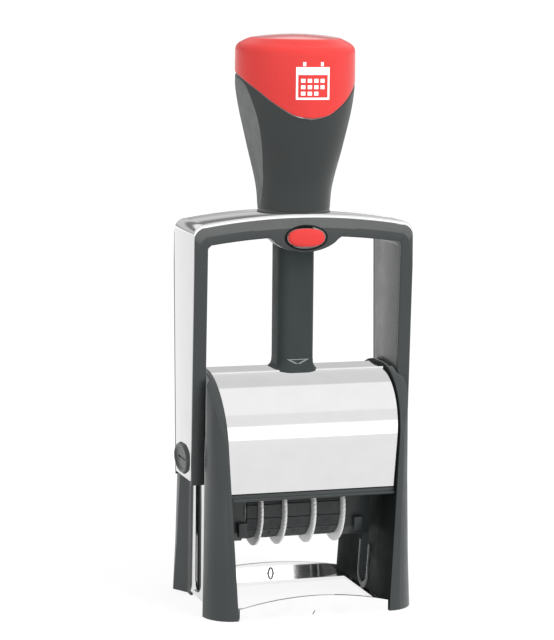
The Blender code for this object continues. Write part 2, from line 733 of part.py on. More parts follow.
def axle_pin(axis, side, name):
    shape = rod("X", 17.9 * MM, YOKE_HALF_X - STRAP_THICK - GAP, 0, AXLE_Z, AXLE_RADIUS)
    finish(make_object(name, mirror_x(shape, side)), "steel", axis)


def cap_edge(angle):
    """Height of the seam under the cap: a tongue at the front, level at the rear."""
    degrees = math.degrees(angle) % 360
    from_front = min(degrees, 360 - degrees)
    return interpolate(CAP_EDGE, from_front * MM)


def grip_point(angle, z):
    """Outer surface of the grip: round, with a flat pinched into each side."""
    radius = interpolate(GRIP_PROFILE, z)
    x = radius * math.sin(angle)
    y = -radius * math.cos(angle)
    limit = interpolate(GRIP_FLATS, z)
    if abs(x) > limit:
        x = math.copysign(limit, x)
    return Vector((x, y, z))


def handle_grip(axis):
    bottom = GRIP_PROFILE[0][0] * MM
    loops = []
    turns = 48
    for k in range(turns):
        angle = 2 * math.pi * k / turns
        top = cap_edge(angle) - GAP / 2
        out = [grip_point(angle, between(bottom, top, i / 10)) for i in range(11)]
        bore = Vector((GRIP_BORE * math.sin(angle), -GRIP_BORE * math.cos(angle), 0))
        inside = [bore + Vector((0, 0, top)), bore + Vector((0, 0, bottom))]
        loops.append(out + inside)
    finish(make_object("handle_grip", ring_sweep(loops)), "dark_plastic", axis)


def handle_cap(axis):
    """Red cap: side wall, bevel ring and a lens-shaped top, hollow under it."""
    turns = 48
    dome = []
    for i in range(1, 5):
        radius = CAP_PLATE_RADIUS * (1 - i / 5)
        dome.append((radius, CAP_TOP_Z - (CAP_TOP_Z - CAP_PLATE_Z) * (radius / CAP_PLATE_RADIUS) ** 2))
    wall = CAP_RADIUS - CAP_WALL
    rows = []
    for k in range(turns):
        angle = 2 * math.pi * k / turns
        low = cap_edge(angle) + GAP / 2
        profile = [(wall, CAP_ROOF_Z), (wall, low), (CAP_RADIUS, low), (CAP_RADIUS, CAP_SIDE_Z),
                   (CAP_RADIUS - CAP_BEVEL[0], CAP_SIDE_Z + CAP_BEVEL[1]),
                   (CAP_PLATE_RADIUS, CAP_PLATE_Z)]
        profile += dome
        rows.append([Vector((r * math.sin(angle), -r * math.cos(angle), z)) for r, z in profile])
    shape = bmesh.new()
    grid = [[shape.verts.new(point) for point in row] for row in rows]
    top = shape.verts.new((0, 0, CAP_TOP_Z))
    roof = shape.verts.new((0, 0, CAP_ROOF_Z))
    for k, row in enumerate(grid):
        other = grid[(k + 1) % turns]
        for i in range(len(row) - 1):
            shape.faces.new((row[i], row[i + 1], other[i + 1], other[i]))
        shape.faces.new((row[-1], top, other[-1]))
        shape.faces.new((row[0], other[0], roof))
    finish(make_object("handle_cap", shape), "red_plastic", axis)


def plunger_rod(axis):
    wall = CAP_RADIUS - CAP_WALL - GAP
    item = make_object("plunger_rod", rod("Z", *FLANGE_Z, 0, 0, wall, 48))
    join(item, rod("Z", ROD_BOTTOM_Z, FLANGE_Z[0] + 0.5 * MM, 0, 0, ROD_RADIUS, 20))
    finish(item, "steel", axis)


def lock_button(axis):
    item = make_object("lock_button", prism("Y", *BUTTON_Y, ellipse(0, BUTTON_Z, *BUTTON_HALF, 28)))
    stem = ellipse(0, BUTTON_Z, *STEM_HALF, 24)
    join(item, prism("Y", BUTTON_Y[1] - 0.5 * MM, BUTTON_Y[1] + 1.8 * MM, stem))
    finish(item, "red_plastic", axis)


# ---------- print unit ----------

def from_axle(outline):
    return [(y * MM, AXLE_Z + z * MM) for y, z in outline]


def unit_cheek(axis, x0, x1, name):
    item = make_object(name, prism("X", x0, x1, from_axle(CHEEK_OUTLINE)))
    side = 1 if x0 > 0 else -1
    pin = rod("X", 17.6 * MM, 22 * MM, 0, AXLE_Z, AXLE_RADIUS + GAP)
    cut(item, mirror_x(pin, side))
    cam = rod("X", 17.7 * MM, 22 * MM, 0, AXLE_Z - CAM_RADIUS, CAM_PIN_RADIUS + GAP, 16)
    cut(item, mirror_x(cam, side))
    cut(item, rod("X", -30 * MM, 30 * MM, 0, AXLE_Z - WHEEL_DROP, WHEEL_AXLE_RADIUS + GAP, 20))
    tie_y, tie_z = TIE_ROD_SPOT
    for y in (-tie_y, tie_y):
        cut(item, rod("X", -30 * MM, 30 * MM, y, AXLE_Z + tie_z, WHEEL_AXLE_RADIUS + GAP, 16))
    finish(item, "dark_plastic", axis)


def cam_pin(axis, side, name):
    shape = rod("X", 18.0 * MM, CAM_PIN_END_X, 0, AXLE_Z - CAM_RADIUS, CAM_PIN_RADIUS, 16)
    finish(make_object(name, mirror_x(shape, side)), "steel", axis)


def tie_rod(axis, side, name):
    tie_y, tie_z = TIE_ROD_SPOT
    shape = rod("X", -19.4 * MM, 19.4 * MM, side * tie_y, AXLE_Z + tie_z, WHEEL_AXLE_RADIUS, 16)
    finish(make_object(name, shape), "steel", axis)


def wheel_axle(axis):
    shape = rod("X", -19.6 * MM, 19.6 * MM, 0, AXLE_Z - WHEEL_DROP, WHEEL_AXLE_RADIUS, 20)
    finish(make_object("wheel_axle", shape), "steel", axis)


def date_window(low, high):
    return box(DATE_SLOT_X[0], DATE_SLOT_X[1], -DATE_SLOT_HALF_Y, DATE_SLOT_HALF_Y, low, high)


def die_carrier(axis):
    low = AXLE_Z + CARRIER_HEIGHT
    half_y = DIE_HALF[1]
    shape = box(-CHEEK_OUTER_X, CHEEK_OUTER_X, -half_y, half_y, low, low + CARRIER_THICK)
    item = make_object("die_carrier", shape)
    cut(item, date_window(low - 1 * MM, low + 3 * MM))
    finish(item, "dark_plastic", axis)


def text_die(axis):
    high = AXLE_Z + FACE_HEIGHT
    low = high - DIE_THICK
    item = make_object("text_die", box(-DIE_HALF[0], DIE_HALF[0], -DIE_HALF[1], DIE_HALF[1], low, high))
    cut(item, date_window(low - 1 * MM, high + 1 * MM))
    finish(item, "rubber", axis)


def band_nose(axis):
    radius = NOSE_RADIUS
    outline = arc(0, AXLE_Z + NOSE_HEIGHT, radius, radius, 0, 180, 10)
    foot = AXLE_Z + NOSE_HEIGHT - 2.4 * MM
    outline += [(-radius, foot), (radius, foot)]
    shape = prism("X", CHEEK_LEFT_INNER_X + GAP, CHEEK_RIGHT_INNER_X - GAP, outline)
    item = make_object("band_nose", shape)
    high = AXLE_Z + NOSE_HEIGHT + 3 * MM
    low = AXLE_Z + CARRIER_HEIGHT - GAP
    cut(item, box(DATE_SLOT_X[1] - GAP, 14 * MM, -3 * MM, 3 * MM, low, high))
    finish(item, "steel", axis)


def belt_outline(hub_radius, nose_radius):
    """Line around the hub and the nose, joined by two straight runs."""
    tilt = math.degrees(math.asin((hub_radius - nose_radius) / (WHEEL_DROP + NOSE_HEIGHT)))
    hub_z = AXLE_Z - WHEEL_DROP
    nose_z = AXLE_Z + NOSE_HEIGHT
    outline = arc(0, nose_z, nose_radius, nose_radius, tilt, 180 - tilt, 8)
    outline += arc(0, hub_z, hub_radius, hub_radius, 180 - tilt, 360 + tilt, 18)
    return outline


def date_band(axis, x0, x1, name):
    outer = belt_outline(WHEEL_HUB_RADIUS + GAP + BAND_THICK, NOSE_RADIUS + GAP + BAND_THICK)
    inner = belt_outline(WHEEL_HUB_RADIUS + GAP, NOSE_RADIUS + GAP)
    item = make_object(name, prism("X", x0, x1, outer))
    cut(item, prism("X", x0 - 1 * MM, x1 + 1 * MM, inner))
    finish(item, "rubber", axis)


def setting_wheel(axis, disc_x, hub_x, name):
    centre_z = AXLE_Z - WHEEL_DROP
    half = WHEEL_DISC_THICK / 2
    item = make_object(name, rod("X", disc_x - half, disc_x + half, 0, centre_z, WHEEL_RADIUS, 40))
    join(item, rod("X", hub_x, disc_x, 0, centre_z, WHEEL_HUB_RADIUS, 28))
    cut(item, rod("X", hub_x - 1 * MM, disc_x + 2 * MM, 0, centre_z, WHEEL_BORE, 16))
    finish(item, "grey_plastic", axis)


def unit_clip(axis, side, name):
    """Snap clip on the front of a cheek block."""
    low = AXLE_Z + CLIP_Z[0]
    high = AXLE_Z + CLIP_Z[1]
    shape = box(*CLIP_X, *CLIP_Y, low, high)
    finish(make_object(name, mirror_x(shape, side)), "dark_plastic", axis)


# ---------- assembly ----------

def build_frame():
    side_frame(-1, "side_frame_left")
    side_frame(1, "side_frame_right")
    slot_plate(-1, "slot_plate_left")
    slot_plate(1, "slot_plate_right")
    base_plate()
    base_screws()
    hood()
    hood_rail()
    upper_bridge()
    cartridge_rail(-1, "cartridge_rail_left")
    cartridge_rail(1, "cartridge_rail_right")
    guide_column()
    column_collar()
    return_spring()


def build_cartridge():
    axis = make_axis("cartridge_axis", 0, 0, PAD_BOTTOM_Z)
    ink_cartridge(axis)
    ink_pad(axis)


def build_yoke():
    axis = make_axis("yoke_axis", 0, 0, YOKE_TOP_Z)
    yoke_bracket(axis)
    yoke_strap(axis)
    yoke_trim(axis, -1, "yoke_front_trim")
    yoke_trim(axis, 1, "yoke_rear_trim")
    lug_plug(axis, -1, "lug_plug_left")
    lug_plug(axis, 1, "lug_plug_right")
    axle_pin(axis, -1, "axle_pin_left")
    axle_pin(axis, 1, "axle_pin_right")
    handle_grip(axis)
    handle_cap(axis)
    plunger_rod(axis)
    lock_button(make_axis("button_axis", 0, BUTTON_Y[0], BUTTON_Z))


def build_print_unit():
    axis = make_axis("flip_axis", 0, 0, AXLE_Z)
    unit_cheek(axis, -CHEEK_OUTER_X, CHEEK_LEFT_INNER_X, "unit_cheek_left")
    unit_cheek(axis, CHEEK_RIGHT_INNER_X, CHEEK_OUTER_X, "unit_cheek_right")
    cam_pin(axis, -1, "cam_pin_left")
    cam_pin(axis, 1, "cam_pin_right")
    tie_rod(axis, -1, "tie_rod_front")
    tie_rod(axis, 1, "tie_rod_rear")
    wheel_axle(axis)
    die_carrier(axis)
    text_die(axis)
    band_nose(axis)
    unit_clip(axis, -1, "unit_clip_left")
    unit_clip(axis, 1, "unit_clip_right")
    for number, (disc, hub) in enumerate(zip(WHEEL_DISCS_X, HUB_STARTS_X), start=1):
        disc_x = disc * MM
        hub_x = hub * MM
        band_end = disc_x - WHEEL_DISC_THICK / 2 - GAP
        date_band(axis, hub_x + 0.1 * MM, band_end, f"date_band_{number}")
        wheel_spot = make_axis(f"wheel_axis_{number}", disc_x, 0, AXLE_Z - WHEEL_DROP)
        setting_wheel(wheel_spot, disc_x, hub_x, f"setting_wheel_{number}")


def main():
    clear_scene()
    build_frame()
    build_cartridge()
    build_yoke()
    build_print_unit()


main()
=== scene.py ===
"""Looks of the rotary date stamp: detailed pieces, materials, studio and camera.

Shapes are worked out in millimetres; +X right, +Y rear, +Z up, the front faces -Y.
"""
import json
import math

import bmesh
import bpy
from mathutils import Matrix, Vector


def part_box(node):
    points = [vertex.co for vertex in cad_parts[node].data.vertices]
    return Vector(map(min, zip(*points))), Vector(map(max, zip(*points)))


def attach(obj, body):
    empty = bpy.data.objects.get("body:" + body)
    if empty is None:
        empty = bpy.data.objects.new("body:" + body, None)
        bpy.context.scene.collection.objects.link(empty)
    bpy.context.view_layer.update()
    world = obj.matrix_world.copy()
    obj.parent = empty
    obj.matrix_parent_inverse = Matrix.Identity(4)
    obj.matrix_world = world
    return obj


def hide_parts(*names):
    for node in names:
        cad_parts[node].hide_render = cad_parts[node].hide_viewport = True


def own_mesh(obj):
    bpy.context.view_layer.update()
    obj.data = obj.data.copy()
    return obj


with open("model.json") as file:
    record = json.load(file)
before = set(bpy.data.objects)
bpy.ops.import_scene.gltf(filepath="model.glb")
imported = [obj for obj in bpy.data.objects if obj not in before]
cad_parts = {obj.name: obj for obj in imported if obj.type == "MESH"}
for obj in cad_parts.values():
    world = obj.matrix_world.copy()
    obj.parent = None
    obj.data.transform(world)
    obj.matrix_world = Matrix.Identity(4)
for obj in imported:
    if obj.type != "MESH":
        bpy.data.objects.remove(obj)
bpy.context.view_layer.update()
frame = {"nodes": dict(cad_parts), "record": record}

MM = 0.001
RECORD = frame["record"]
BODY_OF = {node: body for body, nodes in RECORD["behaviour"]["bodies"].items() for node in nodes}
SLOT_OF = {part["node"]: part["material_slot"] for part in RECORD["subparts"]}


def mm_box(node):
    """Lowest and highest corner of a CAD node, in millimetres."""
    low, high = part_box(node)
    return low / MM, high / MM


# ---------- measures taken from the CAD model ----------

CAP_HIGH = mm_box("handle_cap")[1]
GRIP_LOW = mm_box("handle_grip")[0]
STRAP_LOW, STRAP_HIGH = mm_box("yoke_strap")
TRIM_LOW = mm_box("yoke_front_trim")[0]
BUTTON_LOW, BUTTON_HIGH = mm_box("lock_button")
COLUMN_LOW, COLUMN_HIGH = mm_box("guide_column")
COLLAR_HIGH = mm_box("column_collar")[1]
HOOD_LOW, HOOD_HIGH = mm_box("hood")
PLUG_LOW, PLUG_HIGH = mm_box("lug_plug_right")
PAD_LOW, PAD_HIGH = mm_box("ink_pad")
SPRING_LOW, SPRING_HIGH = mm_box("return_spring")
DIE_HIGH = mm_box("text_die")[1]
BASE_LOW, BASE_HIGH = mm_box("base_plate")
AXLE_LOW, AXLE_HIGH = mm_box("axle_pin_right")
FLIP_Z = (AXLE_LOW.z + AXLE_HIGH.z) / 2
PLUG_Z = (PLUG_LOW.z + PLUG_HIGH.z) / 2
BUTTON_Z = (BUTTON_LOW.z + BUTTON_HIGH.z) / 2
GAP = 0.3
REVOLVE_STEPS = 128
CORNER_STEPS = 12
BEAM_STEPS = 56
FOOT_STEPS = 8
PRINT_RISE = 0.05

# ---------- shape constants ----------

# Height and radius of the grip, then height and half width between its side flats
GRIP_PROFILE = ((105.75, 9.65), (111.4, 10.1), (116.0, 11.15), (123.0, 13.3),
                (130.5, 15.1), (137.0, 15.8), (143.0, 15.95))
GRIP_FLATS = ((105.0, 9.7), (112.7, 9.7), (119.7, 10.65), (127.0, 11.9),
              (134.0, 13.65), (141.0, 15.8), (146.0, 17.9))
GRIP_BORE = 7.2
# Radius and height round the section of the dark ring under the grip
GRIP_RING = ((9.0, 104.7), (9.75, 104.7), (9.9, 105.1), (9.8, 105.5), (9.6, 105.75), (9.0, 105.85))
# Angle from the front and height of the seam between the grip and the cap
CAP_EDGE = ((0.0, 130.45), (17.0, 131.3), (29.5, 133.1), (42.0, 135.2), (55.0, 137.5), (74.0, 140.0),
            (90.0, 141.4), (107.0, 142.0), (125.0, 142.3), (180.0, 142.4))
CAP_WALL = 1.9
CAP_ROOF_Z = 148.8
# Inset from the wall and height of the rounded shoulder
CAP_SHOULDER = ((0.0, 148.2), (0.25, 149.2), (0.9, 149.95), (2.2, 150.7))
CAP_FRONT_DIP = 1.1
CAP_PLATE_RADIUS = 11.9
CAP_PLATE_Z = 151.45
SHOULDER_Y = 3.0
SHOULDER_Z = 46.0
HOOD_RADIUS = 17.0
HOOD_THICK = 1.0
HOOD_CREASE_Y = 5.0
HOOD_REAR_Z = 59.0
INNER_X_FOOT = 20.9
INNER_X_SLOPE = 3.6 / 62.0
YOKE_INNER_X = 26.6
YOKE_CORNER = 3.0
YOKE_INNER_CORNER = 1.2
YOKE_TOP_HALF_X = 28.0
YOKE_TOP_DROP = 2.4
YOKE_UNDER_Z = 99.6
YOKE_UNDER_HALF_X = 27.0
YOKE_UNDER_DROP = 2.1
YOKE_TAPER_Z = 35.0
YOKE_SHOULDER_Z = 98.0
YOKE_HALF_DEPTH_LOW = 8.6
YOKE_HALF_DEPTH_TOP = 11.3
ARCH_CENTRE_Z = 85.0
SLOPE_END_Z = 95.0
# Heights over which the painted highlight on the trims' sloped band fades into the plain edging colour
HIGHLIGHT_FADE_Z = (96.5, 101.5)
TRIM_THICK = 0.9
TRIM_DROP = 0.9
STRAP_THICK = 0.9
BELLY_HALF_X = 9.4
BELLY_BOTTOM_Z = 95.4
COLUMN_ROUND = 2.9
FOOT_ROUND = 4.0
COLUMN_BORE = 3.5
WHEEL_DROP = 15.0
WHEEL_DISC_THICK = 0.75
WHEEL_HUB_RADIUS = 7.6
WHEEL_BORE = 1.5
WHEEL_TEETH = 54
TOOTH_STEPS = 6
KNURL_DEPTH = 0.32
NOSE_HEIGHT = 6.45
NOSE_RADIUS = 1.5
BAND_THICK = 0.9
BAND_EDGE = 0.12
GLYPH_RISE = 0.14
SIGN_HEIGHT = 3.0
DATE_HIGH_X = 11.3
DATE_HALF_Y = 3.0
BAND_PADS = 22
PAD_GROOVE = 0.2
SPRING_TURNS = 15
SPRING_TURN_STEPS = 24
WIRE_STEPS = 10
SPRING_RADIUS = 2.7
SPRING_WIRE = 0.45
BASE_THICK = 1.0
BASE_HALF_X = 20.6
BASE_HALF_Y = 21.9
BASE_EAR_Y = 14.2
WINDOW_HALF = (20.2, 13.2)
FRONT_LIP_Z = (2.9, 5.4)
REAR_LIP_Z = (2.4, 4.15)
LIP_THICK = 0.9
INDEX_X = 1.0
SLOT_HALF = 2.65
SLOT_BOTTOM_Z = 2.7
RIM_TOP_Z = 13.8


# ---------- materials ----------

# The span of a noise texture that is put to use
NOISE_LOW = 0.3
NOISE_HIGH = 0.7


def plug(tree, node, values, links):
    """Fill a node's inputs, by name or number, with plain values and with other sockets."""
    for key, value in values.items():
        node.inputs[key].default_value = value
    for key, socket in links.items():
        tree.links.new(socket, node.inputs[key])


def add_node(tree, kind, values=None, links=None):
    """A new shader node with its inputs filled."""
    node = tree.nodes.new("ShaderNode" + kind)
    plug(tree, node, values or {}, links or {})
    return node


def node_chain(name):
    """A new node material and the tools to wire it."""
    material = bpy.data.materials.new(name)
    material.use_nodes = True
    tree = material.node_tree
    place = add_node(tree, "TexCoord").outputs["Object"]
    return material, tree, tree.nodes["Principled BSDF"], place


def noise(tree, place, size_mm, detail=3.0, stretch=None):
    """Noise whose features are about size_mm across."""
    if stretch is not None:
        place = add_node(tree, "Mapping", {"Scale": stretch}, {"Vector": place}).outputs["Vector"]
    values = {"Scale": 1000.0 / size_mm, "Detail": detail}
    return add_node(tree, "TexNoise", values, {"Vector": place}).outputs["Fac"]


def vary(tree, factor, low, high):
    """Map a noise value to a range."""
    values = {"From Min": NOISE_LOW, "From Max": NOISE_HIGH, "To Min": low, "To Max": high}
    return add_node(tree, "MapRange", values, {"Value": factor}).outputs["Result"]


def tint(tree, factor, colour, spread):
    """A colour that drifts a little lighter and darker."""
    node = add_node(tree, "ValToRGB", links={"Fac": factor})
    darker, lighter = node.color_ramp.elements
    for element, position, share in ((darker, NOISE_LOW, 1 - spread), (lighter, NOISE_HIGH, 1 + spread)):
        element.position = position
        element.color = (*(min(1.0, channel * share) for channel in colour), 1.0)
    return node.outputs["Color"]


def relief(tree, heights, shader):
    """Bump from pairs of height source and depth in millimetres."""
    links = {}
    for height, depth_mm in heights:
        links["Height"] = height
        bump = add_node(tree, "Bump", {"Strength": 1.0, "Distance": depth_mm * MM}, links)
        links["Normal"] = bump.outputs["Normal"]
    tree.links.new(links["Normal"], shader.inputs["Normal"])


def moulded(name, colour, rough, grain_mm, grain_depth, spread=0.08, coat=0.0, shine=0.5):
    """Moulded plastic: fine spark-eroded grain, slight flow marks and handling gloss."""
    material, tree, shader, place = node_chain(name)
    flow = noise(tree, place, 9.0, 2.0, (1.0, 1.0, 0.45))
    handling = noise(tree, place, 4.0, 4.0)
    grain = noise(tree, place, grain_mm, 2.0)
    plug(tree, shader,
         {"Specular IOR Level": shine, "Coat Weight": coat, "Coat Roughness": 0.12},
         {"Base Color": tint(tree, flow, colour, spread), "Roughness": vary(tree, handling, *rough)})
    relief(tree, [(grain, grain_depth), (flow, 0.004)], shader)
    return material


def plated(name, colour, rough, wave_mm, wave_depth):
    """Bare or plated metal: faint smears in the gloss and a slight waviness of the sheet."""
    material, tree, shader, place = node_chain(name)
    smear = noise(tree, place, 6.0, 5.0)
    wave = noise(tree, place, wave_mm, 1.0)
    scratch = noise(tree, place, 0.25, 1.0, (0.03, 1.0, 1.0))
    plug(tree, shader, {"Metallic": 1.0},
         {"Base Color": tint(tree, smear, colour, 0.02), "Roughness": vary(tree, smear, *rough)})
    relief(tree, [(wave, wave_depth), (scratch, 0.0004)], shader)
    return material


def rubbery(name, colour):
    """Matt rubber with a powdery bloom and fine pits."""
    material, tree, shader, place = node_chain(name)
    bloom = noise(tree, place, 2.5, 5.0)
    pits = noise(tree, place, 0.35, 3.0)
    plug(tree, shader, {},
         {"Base Color": tint(tree, bloom, colour, 0.18), "Roughness": vary(tree, bloom, 0.55, 0.72)})
    relief(tree, [(pits, 0.02)], shader)
    return material


def felted(name, colour):
    """Ink-soaked felt under a woven cloth face."""
    material, tree, shader, place = node_chain(name)
    soak = noise(tree, place, 5.0, 4.0)
    warp = noise(tree, place, 0.5, 1.0, (1.0, 0.12, 1.0))
    weft = noise(tree, place, 0.5, 1.0, (0.12, 1.0, 1.0))
    fibre = noise(tree, place, 0.3, 4.0)
    plug(tree, shader, {"Sheen Weight": 0.35, "Sheen Roughness": 0.4},
         {"Base Color": tint(tree, soak, colour, 0.35), "Roughness": vary(tree, soak, 0.7, 0.9)})
    relief(tree, [(warp, 0.05), (weft, 0.05), (fibre, 0.03)], shader)
    return material


def blend_upwards(material, low_colour, low_z, high_z):
    """Give a material another colour at its foot, which fades out between two heights."""
    tree = material.node_tree
    base = tree.nodes["Principled BSDF"].inputs["Base Color"]
    above = base.links[0].from_socket
    place = add_node(tree, "TexCoord").outputs["Object"]
    height = add_node(tree, "SeparateXYZ", links={"Vector": place}).outputs["Z"]
    rise = add_node(tree, "MapRange", {"From Min": low_z * MM, "From Max": high_z * MM}, {"Value": height})
    mix = add_node(tree, "MixRGB", {"Color1": (*low_colour, 1.0)},
                   {"Fac": rise.outputs["Result"], "Color2": above})
    tree.links.new(mix.outputs["Color"], base)


RED = (0.57, 0.038, 0.035)
EDGING_COLOUR = (0.024, 0.028, 0.0285)
MATERIALS = {
    "side_plastic": moulded("satin_dark_plastic", (0.027, 0.032, 0.0325), (0.30, 0.40),
                            0.22, 0.005, shine=0.42),
    # A darker, matt copy of the satin plastic: painted shade for inner faces and the recess round the button
    "inside_painted_shade": moulded("painted_shade_dark_plastic", (0.010, 0.012, 0.012), (0.45, 0.60),
                              0.22, 0.005, shine=0.03),
    "grip_plastic": moulded("grip_dark_plastic", (0.017, 0.0205, 0.0205), (0.33, 0.42),
                            0.26, 0.006, shine=0.42),
    "column_plastic": moulded("column_dark_plastic", (0.036, 0.043, 0.043), (0.36, 0.46),
                              0.22, 0.003, shine=0.05),
    "edging_plastic": moulded("edging_dark_plastic", EDGING_COLOUR, (0.24, 0.34), 0.5, 0.002, shine=0.45),
    # A lighter copy of the edging plastic: a painted highlight for the sloped band that faces the top light
    "slope_painted_highlight": moulded("slope_painted_highlight_plastic", (0.068, 0.070, 0.070), (0.24, 0.34), 0.5, 0.002),
    # A lighter copy of the dark plastic for the yoke bracket: painted sheen for the light its inner arm
    # faces catch
    "arm_painted_sheen": moulded("arm_painted_sheen_plastic", (0.062, 0.064, 0.064), (0.28, 0.36), 0.5, 0.002, shine=0.6),
    "gloss_dark": moulded("gloss_dark_plastic", (0.016, 0.019, 0.020), (0.14, 0.22), 0.6, 0.002),
    "red_plastic": moulded("red_plastic", RED, (0.28, 0.34), 0.3, 0.002, 0.03, shine=0.18),
    "red_polished": moulded("red_polished", RED, (0.16, 0.24), 0.3, 0.002, 0.03, 0.6, 0.6),
    "disc_plastic": moulded("disc_plastic", (0.82, 0.83, 0.82), (0.35, 0.45), 0.25, 0.004, 0.05),
    "bright_plate": plated("chrome_plate", (0.70, 0.70, 0.70), (0.05, 0.10), 14.0, 0.003),
    "base_chrome": plated("base_chrome", (0.93, 0.93, 0.93), (0.05, 0.10), 9.0, 0.004),
    "steel": plated("turned_steel", (0.52, 0.53, 0.55), (0.22, 0.34), 3.0, 0.002),
    "print_rubber": rubbery("black_rubber", (0.032, 0.035, 0.036)),
    "pad_felt": felted("inked_felt", (0.018, 0.022, 0.075)),
    "grey_print": moulded("grey_print", (0.19, 0.20, 0.20), (0.38, 0.48), 0.12, 0.004, 0.03),
    "white_print": moulded("white_print", (0.86, 0.86, 0.84), (0.38, 0.48), 0.12, 0.004, 0.03),
}
# The painted highlight on the sloped band fades to the plain edging colour down the arms
blend_upwards(MATERIALS["slope_painted_highlight"], EDGING_COLOUR, *HIGHLIGHT_FADE_Z)
# Dark pieces that are kept out of the reflections in the bright hood
QUIET_NODES = ("yoke_bracket", "yoke_front_trim", "yoke_rear_trim", "yoke_strap", "handle_grip",
               "handle_cap", "guide_column", "column_collar", "lock_button", "return_spring", "plunger_rod")


# ---------- shape helpers, all in millimetres ----------

def interpolate(table, value):
    """Smooth curve through a table of pairs."""
    last = len(table) - 1
    for i in range(last):
        x0, y0 = table[i]
        x1, y1 = table[i + 1]
        if value <= x1 or i == last - 1:
            before = table[max(0, i - 1)]
            after = table[min(last, i + 2)]
            slope0 = (y1 - before[1]) / (x1 - before[0])
            slope1 = (after[1] - y0) / (after[0] - x0)
            span = x1 - x0
            t = min(1.0, max(0.0, (value - x0) / span))
            bend = (2 * t ** 3 - 3 * t ** 2 + 1) * y0 + (t ** 3 - 2 * t ** 2 + t) * span * slope0
            return bend + (3 * t ** 2 - 2 * t ** 3) * y1 + (t ** 3 - t ** 2) * span * slope1
    return table[-1][1]


def between(low, high, part):
    return low + (high - low) * part


def arc(ca, cb, ra, rb, start, end, steps):
    """Points on an ellipse arc, angles in degrees."""
    points = []
    for i in range(steps + 1):
        angle = math.radians(between(start, end, i / steps))
        points.append((ca + ra * math.cos(angle), cb + rb * math.sin(angle)))
    return points


def ellipse(ca, cb, ra, rb, steps=48):
    return arc(ca, cb, ra, rb, 0, 360, steps)[:-1]


def rounded_rectangle(half_a, half_b, radius, steps=8, ca=0.0, cb=0.0):
    points = []
    for sign_a, sign_b, start in ((1, 1, 0), (-1, 1, 90), (-1, -1, 180), (1, -1, 270)):
        centre_a = ca + sign_a * (half_a - radius)
        centre_b = cb + sign_b * (half_b - radius)
        points += arc(centre_a, centre_b, radius, radius, start, start + 90, steps)
    return points


def flat_ring(axis, along, outline):
    """Points of an outline that stands square to an axis."""
    if axis == "X":
        return [Vector((along, a, b)) for a, b in outline]
    if axis == "Y":
        return [Vector((a, along, b)) for a, b in outline]
    return [Vector((a, b, along)) for a, b in outline]


def grid(rows, wrap_rows=False, wrap_columns=True, shape=None):
    """Skin over rows of points; open ends of a tube are closed."""
    shape = shape or bmesh.new()
    skin = [[shape.verts.new(point) for point in row] for row in rows]
    count = len(rows[0])
    pairs = list(zip(skin, skin[1:]))
    if wrap_rows:
        pairs.append((skin[-1], skin[0]))
    for low, high in pairs:
        for i in range(count if wrap_columns else count - 1):
            j = (i + 1) % count
            shape.faces.new((low[i], low[j], high[j], high[i]))
    if wrap_columns and not wrap_rows:
        shape.faces.new(skin[0])
        shape.faces.new(skin[-1])
    return shape


def prism(axis, start, end, outline, shape=None):
    """Extrude a closed outline along an axis."""
    return grid([flat_ring(axis, along, outline) for along in (start, end)], shape=shape)


def scaled(outline, ca, cb, change_a, change_b):
    """The outline of an oval grown by a distance each way."""
    half_a = max(abs(a - ca) for a, b in outline)
    half_b = max(abs(b - cb) for a, b in outline)
    share_a = (half_a + change_a) / half_a
    share_b = (half_b + change_b) / half_b
    return [(ca + (a - ca) * share_a, cb + (b - cb) * share_b) for a, b in outline]


def revolve(profile):
    """Rows of points round Z from a function that gives radius and height pairs at an angle."""
    shape = bmesh.new()
    rows = []
    for k in range(REVOLVE_STEPS):
        angle = math.tau * k / REVOLVE_STEPS
        out = Vector((math.sin(angle), -math.cos(angle), 0))
        rows.append([shape.verts.new(out * r + Vector((0, 0, z))) for r, z in profile(angle)])
    return shape, rows


def close_fan(shape, rows, index, point):
    """Close one end of turned rows towards a point on the axis."""
    tip = shape.verts.new(point)
    for row, other in zip(rows, rows[1:] + rows[:1]):
        shape.faces.new((row[index], other[index], tip))


def skin_rows(shape, rows):
    """Faces between neighbouring turned rows."""
    count = len(rows[0])
    for row, other in zip(rows, rows[1:] + rows[:1]):
        for i in range(count - 1):
            shape.faces.new((row[i], row[i + 1], other[i + 1], other[i]))


def mirror_x(shape, side):
    for vertex in shape.verts:
        vertex.co.x *= side
    return shape


def to_object(name, shape):
    """Turn a bmesh in millimetres into an object in metres."""
    bmesh.ops.recalc_face_normals(shape, faces=shape.faces)
    for vertex in shape.verts:
        vertex.co *= MM
    mesh = bpy.data.meshes.new(name)
    shape.to_mesh(mesh)
    shape.free()
    item = bpy.data.objects.new(name, mesh)
    bpy.context.scene.collection.objects.link(item)
    return item


def apply_modifiers(item):
    bpy.context.view_layer.update()
    evaluated = item.evaluated_get(bpy.context.evaluated_depsgraph_get())
    result = bpy.data.meshes.new_from_object(evaluated)
    item.modifiers.clear()
    item.data = result


def combine(item, tool, operation="DIFFERENCE"):
    """Cut or join a tool shape, which is used up."""
    cutter = to_object("cutter", tool)
    modifier = item.modifiers.new("combine", "BOOLEAN")
    modifier.operation = operation
    modifier.solver = "EXACT"
    modifier.object = cutter
    apply_modifiers(item)
    bpy.data.objects.remove(cutter, do_unlink=True)


